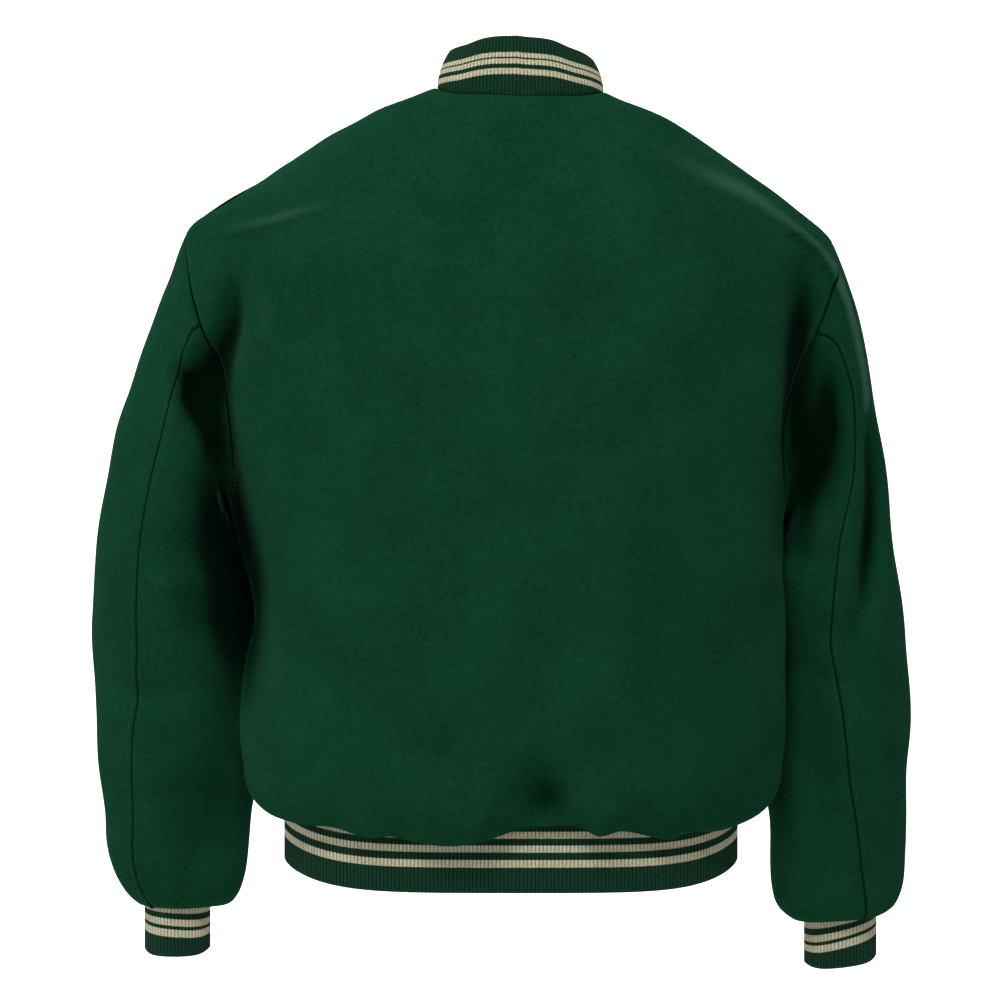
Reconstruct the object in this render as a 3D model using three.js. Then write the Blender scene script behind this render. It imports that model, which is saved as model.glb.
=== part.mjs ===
// A varsity jacket, filled out and hollow, with ribbed collar, waistband and cuffs.
// Millimetres. +Z is up, +X is the wearer's left, the back faces +Y and the front faces -Y.
// The origin is the middle of the neck opening, where the wearer's neck and shoulders hold it.

import * as THREE from "three";

// Driving sizes
const woolWall = 2.2;
const ribWall = 2.2;
const seamGap = 0.3;
const armholeGap = 0.5;
const walePitch = 3.1;
const waleRise = 0.9;
const seamY = -8;
const squareness = 2.4;
const waistSquareness = 3.0;
const frontOverlap = 16;
const lapStep = woolWall + 1;
const lapRun = 18;

// Neck: how far the neck seam lies below its highest row, at the back and at the front
const neckRow = -4;
const neckFade = 150;
const neckDropBack = 10;
const neckDropFront = 74;
const neckCurve = 1.87;

// Armhole: an oval on the torso's side, and the tilt that lifts the wearer's left shoulder
const armholeMiddle = 231;
const armholeHalfHeight = 115;
const armholeHalfDepth = 68;
const armholeFullness = 0.65;
const shoulderTilt = 0.017;
const shoulderEase = [-75, -50, -25, 0, 25, 50, 75];

// Hem: the wool rolls in over the waistband
const hemStart = 552;
const hemRoll = 49;
const hemTurn = THREE.MathUtils.degToRad(108);
const hemSideRise = 12;
const bandSideRise = 18;
const cuffSideRise = 4;
const bandEase = 0.5;
const waist = { left: 196, right: 178, back: 108, front: 100, top: 588, bottom: 646 };

// Collar: the gap where its ends meet at the front
const collarParting = 0.6;

const snapCount = 7;
const snapFirst = 86;
const snapPitch = 77;
const snapRadius = 6.8;
const snapHeight = 2.6;

// The right front's lap: places across the front and the share of its step inward
const lap = table(
  ["x", "share"],
  [-frontOverlap - lapRun, 0],
  [-frontOverlap - lapRun / 2, 0.5],
  [-frontOverlap - 1.5, 1],
  [0, 1],
  [frontOverlap, 1],
);

// Collar: its height and inward lean, by the share of the way from the back to the front
const collarRise = table(
  ["share", "height", "lean"],
  [0, 49, 6],
  [0.12, 46, 9],
  [0.2, 39.5, 12],
  [0.3, 29, 10],
  [0.4, 25, 7],
  [0.6, 28, 8],
  [0.8, 34, 7],
  [1, 41, 4],
);

// Facets: rows and columns of the walls
const armholeSteps = 12;
const backColumns = 18;
const frontColumns = 10;
const rightColumns = 9;
const sleeveRings = 17;
const innerFacets = 4;

// Finishes
const woolColour = 0x103824;
const ribColour = 0x1c3529;
const snapColour = 0xb9bcc0;

function table(names, ...rows) {
  return rows.map((row) => Object.fromEntries(names.map((name, i) => [name, row[i]])));
}

// Torso sections: distance below the neck, half widths, depths, and the hollows where the arms hang
const torsoSections = table(
  ["down", "left", "right", "back", "front", "leftHollow", "rightHollow"],
  [-4, 70, 69, 56, 54, 0, 0],
  [0, 83, 78, 58, 55, 0, 0],
  [10, 110, 104, 63, 58, 0, 0],
  [25, 138, 133, 71, 63, 0, 0],
  [50, 179, 169, 85, 72, 0, 0],
  [75, 217, 206, 97, 82, 0, 0],
  [100, 256, 240, 107, 92, 0, 0],
  [116, 275, 256, 112, 97, 0, 0],
  [140, 284, 265, 117, 103, 0, 0],
  [170, 287, 267, 121, 108, 0, 0],
  [205, 280, 259, 125, 113, 0, 0],
  [240, 269, 245, 128, 116, 3, 2],
  [290, 259, 229, 131, 118, 11, 8],
  [346, 248, 223, 133, 119, 22, 17],
  [375, 239, 222, 134, 120, 15, 15],
  [400, 230, 222, 134, 120, 10, 18],
  [430, 226, 222, 135, 120, 13, 22],
  [470, 233, 222, 136, 120, 23, 23],
  [520, 237, 222, 136, 120, 27, 24],
  [552, 232, 219, 135, 119, 23, 21],
);

// Where the arm hollows lie, front to back, from the armhole to the hem
const hollowY = { top: -10, bottom: -34, spread: 45 };

// Main creases of the torso: a segment on the back (face 1) or front (face -1), troughs are positive
const torsoFolds = table(
  ["face", "x1", "z1", "x2", "z2", "spread", "depth"],
  [1, 236, -150, 246, -215, 15, 9],
  [1, 246, -215, 240, -300, 16, 11],
  [1, -226, -150, -232, -215, 13, 9],
  [1, -232, -215, -222, -320, 13, 8],
  [1, -18, -560, -16, -590, 22, 6],
  [-1, 222, -170, 206, -290, 18, 8],
  [-1, -204, -170, -188, -290, 18, 7],
);

// Sleeves: outer and inner lines of the rings from armhole to cuff, half depth and middle
const leftSleeveRings = table(
  ["outX", "outDown", "inX", "inDown", "depth", "y"],
  [277, 112, 226, 346, 68, -8],
  [284, 128, 234, 342, 71, -8],
  [291, 147, 238, 347, 72, -8],
  [302, 172, 236, 359, 71, -9],
  [313.5, 202, 233, 374, 69, -10],
  [325, 238, 229, 391, 67, -12],
  [337.5, 278, 224, 409, 66, -14],
  [347, 318, 220, 427, 65, -17],
  [353, 360, 217, 449, 64, -20],
  [358, 402, 215, 473, 63, -23],
  [360.5, 444, 214.5, 497, 62, -26],
  [358.5, 484, 216, 521, 61, -29],
  [357, 522, 219, 546, 60, -32],
  [355, 560, 223, 572, 58, -35],
  [351, 596, 227.5, 598, 56, -38],
  [349, 622, 230.5, 624, 52, -40],
  [343, 646, 234, 648, 47, -42],
  [334, 664, 240, 666, 40, -43],
  [324, 674, 249, 675, 33, -44],
);
const rightSleeveRings = table(
  ["outX", "outDown", "inX", "inDown", "depth", "y"],
  [257, 120, 206, 350, 68, -8],
  [264, 136, 212, 347, 71, -8],
  [270.5, 153, 216, 352, 72, -8],
  [278, 176, 217, 364, 71, -9],
  [285, 206, 215, 379, 69, -10],
  [292, 242, 212, 396, 67, -12],
  [300, 282, 209, 414, 66, -14],
  [306, 322, 207, 432, 65, -17],
  [311, 364, 205, 454, 64, -20],
  [315, 406, 204, 478, 63, -23],
  [321, 448, 203.5, 502, 62, -26],
  [325.5, 486, 204, 526, 61, -29],
  [326.5, 524, 204.5, 550, 60, -32],
  [324.5, 562, 206, 576, 58, -35],
  [324, 600, 208, 602, 56, -38],
  [323.5, 630, 208, 632, 52, -40],
  [322, 656, 210.5, 658, 47, -42],
  [315, 674, 216, 677, 40, -43],
  [304, 681, 228, 688, 33, -44],
);

// Cuffs: middle, half sizes, top and height of each ring, and its slope to the side
const cuffs = {
  left: { x: 290.5, y: -44, width: 27.7, depth: 28.5, top: 666, height: 50, slope: 0 },
  right: { x: 269.5, y: -44, width: 30.5, depth: 28.5, top: 675, height: 50, slope: 0.12 },
};

// Sleeve seams, by angle from the outside towards the back, along the arm
const backSeamTurn = table(
  ["ring", "left", "right"],
  [0, 72, 72], [3, 69, 61], [5, 68.5, 58], [7, 66, 86], [9, 65, 98], [10, 68, 95], [12, 62, 89],
  [15, 56, 75], [19, 50, 55],
);
const backSeamStep = 5;
const underSeamStep = 14;

// Main creases of the sleeves: ring, angle, their spreads and depth, troughs are positive
const leftSleeveFolds = table(
  ["ring", "turn", "ringSpread", "turnSpread", "depth", "slant"],
  [5.6, 118, 1.6, 26, 7, 0.8],
  [8.4, 150, 0.9, 40, 5, -0.6],
  [11.2, 62, 0.55, 46, 4, 0.5],
  [15.2, 96, 0.5, 34, 3, 0.4],
);
const rightSleeveFolds = table(
  ["ring", "turn", "ringSpread", "turnSpread", "depth", "slant"],
  [6.2, 92, 1.8, 24, 8, 1.2],
  [8.8, 140, 0.9, 38, 5, 0.7],
  [10.9, 70, 0.6, 40, 3, -0.5],
  [9.6, 240, 0.8, 44, 3, -0.7],
  [12.5, 258, 0.7, 40, 2, 0.6],
  [15.4, 104, 0.5, 34, 3, -0.4],
);

const jacket = new THREE.Group();

// A smooth curve through one column of a table, at a place along another column
function smooth(rows, along, name, at) {
  let i = 0;
  while (i < rows.length - 2 && at > rows[i + 1][along]) i += 1;
  const before = rows[Math.max(i - 1, 0)];
  const [start, end] = [rows[i], rows[i + 1]];
  const after = rows[Math.min(i + 2, rows.length - 1)];
  const span = end[along] - start[along];
  const slopeIn = (end[name] - before[name]) / (end[along] - before[along]);
  const slopeOut = (after[name] - start[name]) / (after[along] - start[along]);
  const u = THREE.MathUtils.clamp((at - start[along]) / span, 0, 1);
  const [u2, u3] = [u * u, u * u * u];
  return (2 * u3 - 3 * u2 + 1) * start[name] + (u3 - 2 * u2 + u) * span * slopeIn
    + (3 * u2 - 2 * u3) * end[name] + (u3 - u2) * span * slopeOut;
}

function sleeveColumn(rings, name, ring) {
  return smooth(rings.map((row, i) => ({ i, value: row[name] })), "i", "value", ring);
}

function mix(a, b, share) {
  return a + (b - a) * share;
}

function power(value, exponent) {
  return Math.sign(value) * Math.abs(value) ** exponent;
}

// The torso's section at a row: down is the distance below the neck, curl is 0 to 1 round the hem
function section(down, curl) {
  const turn = curl * hemTurn;
  const share = (1 - Math.cos(turn)) / (1 - Math.cos(hemTurn));
  const clear = waleRise + seamGap + bandEase;
  const sizes = { share, squareness: mix(squareness, waistSquareness, share) };
  for (const side of ["left", "right", "back", "front"]) {
    sizes[side] = mix(smooth(torsoSections, "down", side, down), waist[side] + clear, share);
  }
  for (const side of ["left", "right"]) {
    const near = shoulderEase.map((step) => smooth(torsoSections, "down", side, down + step));
    const eased = near.reduce((sum, width) => sum + width, 0) / near.length;
    sizes[side + "Eased"] = mix(Math.max(eased, waist[side]), waist[side] + clear, share);
  }
  sizes.leftHollow = smooth(torsoSections, "down", "leftHollow", down) * (1 - share);
  sizes.rightHollow = smooth(torsoSections, "down", "rightHollow", down) * (1 - share);
  sizes.z = -(down + hemRoll * Math.sin(turn));
  return sizes;
}

// Away from its ends a section follows the shoulder slope only loosely, so the back stays smooth
function easeShare(down) {
  return THREE.MathUtils.smoothstep(down, 0, 60);
}

function neckDrop(angle) {
  const rise = Math.sin(angle);
  if (rise > 0) return neckDropBack * rise * rise;
  return neckDropFront * (1 - Math.abs(Math.cos(angle))) ** neckCurve;
}

// A point of the torso before its creases: angle 0 is the left side, a quarter turn is the back
function plainTorso(angle, row) {
  const fade = THREE.MathUtils.clamp((neckFade - row.down) / (neckFade - neckRow), 0, 1);
  const down = row.down + neckDrop(angle) * fade;
  const sizes = section(down, row.curl);
  const [c, s] = [Math.cos(angle), Math.sin(angle)];
  const side = c > 0 ? "left" : "right";
  const y = power(s, 2 / sizes.squareness) * (s > 0 ? sizes.back : sizes.front);
  const low = THREE.MathUtils.clamp((down - armholeMiddle) / (hemStart - armholeMiddle), 0, 1);
  const away = (y - mix(hollowY.top, hollowY.bottom, low)) / hollowY.spread;
  const hollow = sizes[side + "Hollow"] * Math.exp(-away * away) * Math.min(1, 3 * Math.abs(c));
  const ease = THREE.MathUtils.smoothstep(Math.abs(s), 0.25, 0.85) * easeShare(down);
  const width = mix(sizes[side], sizes[side + "Eased"], ease);
  const x = power(c, 2 / sizes.squareness) * width - Math.sign(c) * hollow;
  const tilt = shoulderTilt * THREE.MathUtils.clamp((hemStart - down) / (hemStart - 120), 0, 1);
  const rise = hemSideRise * Math.abs(c) ** 3 * Math.sin(row.curl * hemTurn);
  return new THREE.Vector3(x, y, sizes.z + rise + tilt * x);
}

function rowStep(row, amount) {
  if (row.curl > 0 || row.down >= hemStart) {
    return { down: hemStart, curl: row.curl + amount / 60 };
  }
  return { down: row.down + amount, curl: 0 };
}

function torsoNormal(angle, row) {
  const around = plainTorso(angle + 0.004, row).sub(plainTorso(angle - 0.004, row));
  const last = row.curl > 0.98;
  const down = plainTorso(angle, rowStep(row, last ? 0 : 0.5))
    .sub(plainTorso(angle, rowStep(row, last || row.curl > 0 ? -0.5 : 0)));
  return down.cross(around).normalize();
}

// Depth of the creases at a point, by its distance from each crease's segment
function foldDepth(point) {
  let depth = 0;
  for (const fold of torsoFolds) {
    const [dx, dz] = [fold.x2 - fold.x1, fold.z2 - fold.z1];
    const along = ((point.x - fold.x1) * dx + (point.z - fold.z1) * dz) / (dx * dx + dz * dz);
    const share = THREE.MathUtils.clamp(along, 0, 1);
    const away = Math.hypot(point.x - fold.x1 - share * dx, point.z - fold.z1 - share * dz);
    const facing = THREE.MathUtils.smoothstep(point.y * fold.face, 15, 55);
    depth += fold.depth * facing * Math.exp(-((away / fold.spread) ** 2));
  }
  return depth;
}

// A point of the torso's outer face, moved in by a depth along its normal
function torso(angle, row, inward = 0) {
  const point = plainTorso(angle, row);
  return point.addScaledVector(torsoNormal(angle, row), -foldDepth(point) - inward);
}

function angleAtY(y, row, side) {
  const sizes = section(row.down, row.curl);
  const depth = y > 0 ? sizes.back : sizes.front;
  const angle = Math.asin(power(y / depth, sizes.squareness / 2));
  return side === "left" ? angle : Math.PI - angle;
}

function frontAngle(x, row) {
  const fade = THREE.MathUtils.clamp((neckFade - row.down) / (neckFade - neckRow), 0, 1);
  const sizes = section(row.down + neckDropFront * fade, row.curl);
  const width = x > 0 ? sizes.left : sizes.right;
  return -Math.acos(power(x / width, sizes.squareness / 2));
}

// Rows of the body panels: shoulder, armhole, side and rolled hem
function bodyRows() {
  const rows = [neckRow, 4, 16, 38, 64, 92].map((down) => ({ down, curl: 0, turn: 0 }));
  for (let i = 0; i <= armholeSteps; i += 1) {
    const turn = (Math.PI * i) / armholeSteps;
    const down = armholeMiddle - armholeHalfHeight * Math.cos(turn);
    rows.push({ down, curl: 0, turn });
  }
  for (const down of [390, 430, 470, 512, hemStart]) rows.push({ down, curl: 0, turn: 0 });
  for (const curl of [0.3, 0.6, 0.82, 1]) rows.push({ down: hemStart, curl, turn: 0 });
  return rows;
}

const rows = bodyRows();

function inArmhole(row) {
  return row.turn > 0.01 && row.turn < Math.PI - 0.01;
}

// How far the armhole's oval reaches from its middle line, front or back
function armholeReach(turn) {
  return armholeHalfDepth * power(Math.sin(turn), armholeFullness);
}

// The angle of a panel's side edge at a row: the armhole's oval, or the seam with its gap
function sideEdge(row, side, face) {
  const reach = inArmhole(row) ? armholeReach(row.turn) : seamGap / 2;
  return angleAtY(seamY + face * reach, row, side);
}

function wallFrom(pointAt, rowCount, columnCount, thickness) {
  const grid = (inward) => Array.from({ length: rowCount }, (_, k) =>
    Array.from({ length: columnCount }, (_, j) => pointAt(k, j, inward)));
  return [grid(0), grid(thickness)];
}

// Closes an outer and an inner grid of points into one solid; a ring also closes on itself
function closeWall(outer, inner, ring = false) {
  const points = [];
  const faces = [];
  const number = (grid) => grid.map((line) => {
    const ids = line.map((point) => points.push(point) - 1);
    return ring ? [...ids, ids[0]] : ids;
  });
  const skin = (grid, flip) => {
    for (let k = 0; k + 1 < grid.length; k += 1) {
      for (let j = 0; j + 1 < grid[k].length; j += 1) {
        const [a, b, c, d] = [grid[k][j], grid[k][j + 1], grid[k + 1][j + 1], grid[k + 1][j]];
        faces.push(flip ? [a, c, d] : [a, d, c], flip ? [a, b, c] : [a, c, b]);
      }
    }
  };
  const rim = (first, second, secondLeads = false) => {
    let [i, j] = [0, 0];
    while (i + 1 < first.length || j + 1 < second.length) {
      const nextFirst = (i + 1) / (first.length - 1);
      const nextSecond = (j + 1) / (second.length - 1);
      if (nextFirst < nextSecond || (nextFirst === nextSecond && !secondLeads)) {
        faces.push([first[i], first[i + 1], second[j]]);
        i += 1;
      } else {
        faces.push([first[i], second[j + 1], second[j]]);
        j += 1;
      }
    }
  };
  const [out, inn] = [number(outer), number(inner)];
  skin(out, false);
  skin(inn, true);
  rim(out[0], inn[0]);
  rim(inn[inn.length - 1], out[out.length - 1]);
  if (!ring) {
    rim(inn.map((line) => line[0]), out.map((line) => line[0]), true);
    rim(out.map((line) => line[line.length - 1]), inn.map((line) => line[line.length - 1]));
  }
  return solidFrom(points, faces);
}

// A geometry from points and triangles, with its faces turned out
function solidFrom(points, faces) {
  let volume = 0;
  for (const [a, b, c] of faces) {
    volume += points[a].dot(points[b].clone().cross(points[c]));
  }
  const index = faces.flatMap(([a, b, c]) => (volume > 0 ? [a, b, c] : [a, c, b]));
  const geometry = new THREE.BufferGeometry();
  geometry.setAttribute("position",
    new THREE.Float32BufferAttribute(points.flatMap((point) => point.toArray()), 3));
  geometry.setIndex(index);
  geometry.computeVertexNormals();
  return geometry;
}

function addPiece(name, geometry, colour, roughness, metalness = 0) {
  const material = new THREE.MeshStandardMaterial({ color: colour, roughness, metalness });
  const mesh = new THREE.Mesh(geometry, material);
  mesh.name = name;
  jacket.add(mesh);
}

function addWool(name, geometry) {
  addPiece(name, geometry, woolColour, 0.95);
}

// Columns lie closer together near a panel's side edges, where it turns
function spread(share) {
  return share - 0.06 * Math.sin(2 * Math.PI * share);
}

function backPoint(k, j, inward) {
  const [start, end] = [sideEdge(rows[k], "left", 1), sideEdge(rows[k], "right", 1)];
  return torso(mix(start, end, spread(j / backColumns)), rows[k], inward);
}

function backPanel() {
  addWool("back", closeWall(...wallFrom(backPoint, rows.length, backColumns + 1, woolWall)));
}

// The wearer's left front laps over the right
function frontLeftPoint(k, j, inward) {
  const row = rows[k];
  if (j > frontColumns) return torso(frontAngle(-frontOverlap, row), row, inward);
  const [start, end] = [sideEdge(row, "left", -1), frontAngle(0, row)];
  return torso(mix(start, end, spread(j / frontColumns / 2) * 2), row, inward);
}

function frontLeftPanel() {
  const walls = wallFrom(frontLeftPoint, rows.length, frontColumns + 2, woolWall);
  addWool("front_left", closeWall(...walls));
}

function frontRightPoint(k, j, inward) {
  const row = rows[k];
  const over = j - rightColumns;
  if (over >= 0) {
    return torso(frontAngle(lap[over].x, row), row, inward + lapStep * lap[over].share);
  }
  const [start, end] = [sideEdge(row, "right", -1) - 2 * Math.PI, frontAngle(lap[0].x, row)];
  return torso(mix(start, end, spread(j / rightColumns / 2) * 2), row, inward);
}

function frontRightPanel() {
  const walls = wallFrom(frontRightPoint, rows.length, rightColumns + lap.length, woolWall);
  addWool("front_right", closeWall(...walls));
}

// One sleeve: a point of ring 0 is the armhole's own point, moved off it by a narrow gap
function sleeve(side) {
  const mirror = side === "left" ? 1 : -1;
  const rings = side === "left" ? leftSleeveRings : rightSleeveRings;
  const folds = side === "left" ? leftSleeveFolds : rightSleeveFolds;
  const cuff = cuffs[side];
  const last = rings.length;
  const clear = waleRise + seamGap + bandEase;

  const cuffEnd = {
    outX: cuff.x + cuff.width + clear, outDown: cuff.top + 8 - cuff.slope * cuff.width,
    inX: cuff.x - cuff.width - clear, inDown: cuff.top + 8 + cuff.slope * cuff.width,
    depth: cuff.depth + clear, y: cuff.y,
  };
  const allRings = [...rings, cuffEnd];

  const armholeRow = (turn) => {
    const down = armholeMiddle - armholeHalfHeight * Math.cos(turn);
    return { down, curl: 0 };
  };
  const armhole = (turn, inward) => {
    const row = armholeRow(turn);
    return torso(angleAtY(seamY + armholeReach(turn), row, side), row, inward);
  };
  const oval = (turn, ring) => {
    const read = (name) => sleeveColumn(allRings, name, ring);
    const outer = new THREE.Vector3(mirror * read("outX"), 0, -read("outDown"));
    const inner = new THREE.Vector3(mirror * read("inX"), 0, -read("inDown"));
    const point = outer.lerp(inner, (1 - Math.cos(turn)) / 2);
    point.y = read("y") + read("depth") * Math.sin(turn);
    return point;
  };
  const plain = (turn, ring) => {
    const point = oval(turn, ring);
    const fade = Math.max(0, 1 - ring / 6) ** 2;
    return point.addScaledVector(armhole(turn, 0).sub(oval(turn, 0)), fade);
  };
  const normal = (turn, ring) => {
    const around = plain(turn + 0.01, ring).sub(plain(turn - 0.01, ring));
    const along = plain(turn, Math.min(ring + 0.1, last)).sub(plain(turn, Math.max(ring - 0.1, 0)));
    return along.cross(around).multiplyScalar(mirror).normalize();
  };
  const foldAt = (turn, ring) => folds.reduce((depth, fold) => {
    const turned = THREE.MathUtils.euclideanModulo(turn, 2 * Math.PI);
    const aside = (THREE.MathUtils.radToDeg(turned) - fold.turn) / fold.turnSpread;
    const along = (ring - fold.ring - fold.slant * aside) / fold.ringSpread;
    return depth + fold.depth * Math.exp(-aside * aside - along * along);
  }, 0);
  const middle = armhole(0, 0).add(armhole(Math.PI, 0)).multiplyScalar(0.5);
  const surface = (turn, ring, inward) => {
    if (ring === 0) {
      const row = armholeRow(turn);
      const angle = angleAtY(seamY + armholeReach(turn), row, side);
      const towards = middle.clone().sub(armhole(turn, 0));
      const face = torsoNormal(angle, row);
      towards.addScaledVector(face, -towards.dot(face)).normalize();
      return armhole(turn, inward).addScaledVector(towards, armholeGap);
    }
    const point = plain(turn, ring);
    const fold = foldAt(turn, ring);
    return point.addScaledVector(normal(turn, ring), -fold - inward);
  };

  // Columns keep their place in the armhole, and drift along the arm so that one follows the back seam
  const turnAt = (step, ring) => {
    const seam = THREE.MathUtils.degToRad(smooth(backSeamTurn, "ring", side, ring));
    const first = (Math.PI * backSeamStep) / armholeSteps;
    const turn = (Math.PI * step) / armholeSteps;
    const reach = turn < first ? turn / first : (2 * Math.PI - turn) / (2 * Math.PI - first);
    return turn + (seam - first) * Math.max(0, 1 - (1 - reach) * 3);
  };
  const piece = (name, from, to) => {
    const pointAt = (k, j, inward) => {
      const ring = (k * last) / sleeveRings;
      let turn = turnAt(THREE.MathUtils.euclideanModulo(from + j, 2 * armholeSteps), ring);
      const wide = sleeveColumn(allRings, "depth", ring);
      if (j === 0) turn += seamGap / 2 / wide;
      if (j === to - from) turn -= seamGap / 2 / wide;
      return surface(turn, ring, inward);
    };
    addWool(name, closeWall(...wallFrom(pointAt, sleeveRings + 1, to - from + 1, woolWall)));
  };
  piece(`sleeve_${side}_under`, backSeamStep, underSeamStep);
  piece(`sleeve_${side}_top`, underSeamStep, backSeamStep + 2 * armholeSteps);
}

// Lengths along a line of points, and the point at a share of it
function alongLine(line, share) {
  const lengths = [0];
  for (let i = 1; i < line.length; i += 1) {
    lengths.push(lengths[i - 1] + line[i].distanceTo(line[i - 1]));
  }
  const at = share * lengths[lengths.length - 1];
  let i = 0;
  while (i < line.length - 2 && lengths[i + 1] < at) i += 1;
  const local = (at - lengths[i]) / (lengths[i + 1] - lengths[i]);
  return line[i].clone().lerp(line[i + 1], THREE.MathUtils.clamp(local, 0, 1));
}

// A knitted band: its outer points rise and fall as wales, its inside is plain and coarser
function ribbedBand(name, place, wales, levels, ring) {
  const count = 2 * wales + (ring ? 0 : 1);
  const coarse = Math.ceil(count / (2 * innerFacets));
  const innerCount = coarse + (ring ? 0 : 1);
  const grid = (columns, shares, inward, rise) => levels.map((level) =>
    Array.from({ length: columns }, (_, j) =>
      place(j / shares, level, inward - (j % 2 ? rise : 0))));
  const outer = grid(count, 2 * wales, 0, waleRise);
  const inner = grid(innerCount, coarse, ribWall, 0);
  addPiece(name, closeWall(outer, inner, ring), ribColour, 0.9);
}

function collar() {
  const edge = (pointAt, from, to, inward) => {
    const step = Math.sign(to - from);
    return Array.from({ length: Math.abs(to - from) + 1 }, (_, i) => pointAt(0, from + i * step, inward));
  };
  const around = (inward) => [
    ...edge(frontLeftPoint, frontColumns, 0, inward),
    ...edge(backPoint, 0, backColumns, inward),
    ...edge(frontRightPoint, 0, rightColumns + 3, inward),
  ];
  const neckLine = around(0);
  const neckNormals = around(woolWall).map((point, i) => neckLine[i].clone().sub(point).normalize());
  neckLine[0].x += collarParting;
  neckLine[neckLine.length - 1].x -= collarParting;
  const lengthOfLine = neckLine.slice(1).reduce((sum, point, i) => sum + point.distanceTo(neckLine[i]), 0);
  const place = (share, level, inward) => {
    const seam = alongLine(neckLine, share);
    const face = alongLine(neckNormals, share).normalize();
    const out = new THREE.Vector3(seam.x, seam.y * 1.2, 0).normalize();
    const point = seam.clone().addScaledVector(out, -0.25);
    const round = Math.abs(2 * share - 1);
    point.z += seamGap + 0.3 + smooth(collarRise, "share", "height", round) * level;
    point.addScaledVector(out, -smooth(collarRise, "share", "lean", round) * level * level);
    const turn = out.clone().lerp(face, Math.max(0, 0.5 - 4 * level)).normalize();
    return point.addScaledVector(turn, -inward - waleRise);
  };
  ribbedBand("collar", place, Math.round(lengthOfLine / walePitch), [0, 0.3, 1], false);
}

function waistPoint(angle, down, inward) {
  const [c, s] = [Math.cos(angle), Math.sin(angle)];
  const wide = (c > 0 ? waist.left : waist.right) - inward;
  const deep = (s > 0 ? waist.back : waist.front) - inward;
  const reach = 2 / waistSquareness;
  return new THREE.Vector3(power(c, reach) * wide, power(s, reach) * deep, -down);
}

function waistband() {
  const steps = 360;
  const gapAngle = 0.0006;
  const line = [];
  for (let i = 0; i <= steps; i += 1) {
    line.push(waistPoint(mix(-Math.PI / 2 + gapAngle, 1.5 * Math.PI - gapAngle, i / steps), 0, 0));
  }
  const lengthOfLine = line.slice(1).reduce((sum, point, i) => sum + point.distanceTo(line[i]), 0);
  const place = (share, level, inward) => {
    const at = alongLine(line, share);
    const before = alongLine(line, Math.max(share - 0.003, 0));
    const after = alongLine(line, Math.min(share + 0.003, 1));
    const out = new THREE.Vector3(after.y - before.y, before.x - after.x, 0).normalize();
    at.addScaledVector(out, -inward);
    const side = Math.abs(at.x) / (at.x > 0 ? waist.left : waist.right);
    at.z = bandSideRise * side ** 6 - mix(waist.top, waist.bottom, level);
    return at;
  };
  ribbedBand("waistband", place, Math.round(lengthOfLine / walePitch), [0, 1], false);
}

function cuff(side) {
  const mirror = side === "left" ? 1 : -1;
  const size = cuffs[side];
  const wales = Math.round((Math.PI * (size.width + size.depth)) / walePitch);
  const place = (share, level, inward) => {
    const turn = 2 * Math.PI * share;
    const x = (size.width - inward) * Math.cos(turn);
    const y = size.y + (size.depth - inward) * Math.sin(turn);
    const rise = cuffSideRise * level * Math.abs(Math.cos(turn)) ** 6;
    const down = size.top + size.height * level - size.slope * x - rise;
    return new THREE.Vector3(mirror * (size.x + x), y, -down);
  };
  ribbedBand(`cuff_${side}`, place, wales, [0, 1], true);
}

// A snap's domed cap on the left front, made from the panel's own points, moved out
function snap(number) {
  const down = snapFirst + snapPitch * (number - 1);
  const around = 16;
  const rings = [[0, snapHeight], [3.8, snapHeight * 0.9], [snapRadius, snapHeight * 0.35], [snapRadius, 0]];
  const at = (radius, turn, height) => {
    const reach = down + radius * Math.sin(turn);
    const fade = (neckFade - neckRow) / (neckFade - neckRow - neckDropFront);
    const rowDown = reach < neckFade ? neckFade - (neckFade - reach) * fade : reach;
    const row = { down: rowDown, curl: 0 };
    return torso(frontAngle(radius * Math.cos(turn), row), row, -height - seamGap);
  };
  const points = [at(0, 0, rings[0][1]), at(0, 0, 0)];
  const faces = [];
  rings.slice(1).forEach(([radius, height], k) => {
    for (let i = 0; i < around; i += 1) points.push(at(radius, (2 * Math.PI * i) / around, height));
    const [ring, next] = [2 + k * around, (i) => (i + 1) % around];
    for (let i = 0; i < around; i += 1) {
      if (k === 0) {
        faces.push([0, ring + i, ring + next(i)]);
      } else {
        const above = ring - around;
        faces.push([above + i, ring + i, ring + next(i)], [above + i, ring + next(i), above + next(i)]);
      }
      if (k === rings.length - 2) faces.push([1, ring + next(i), ring + i]);
    }
  });
  addPiece(`snap_${number}`, solidFrom(points, faces), snapColour, 0.3, 1);
}

backPanel();
frontLeftPanel();
frontRightPanel();
sleeve("left");
sleeve("right");
collar();
waistband();
cuff("left");
cuff("right");
for (let number = 1; number <= snapCount; number += 1) snap(number);

export default jacket;
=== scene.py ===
# The looks of a varsity jacket, filled out and hollow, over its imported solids.
# Sizes are millimetres until a mesh is made. +Z is up, +X the wearer's left, +Y the back.

import math

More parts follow.
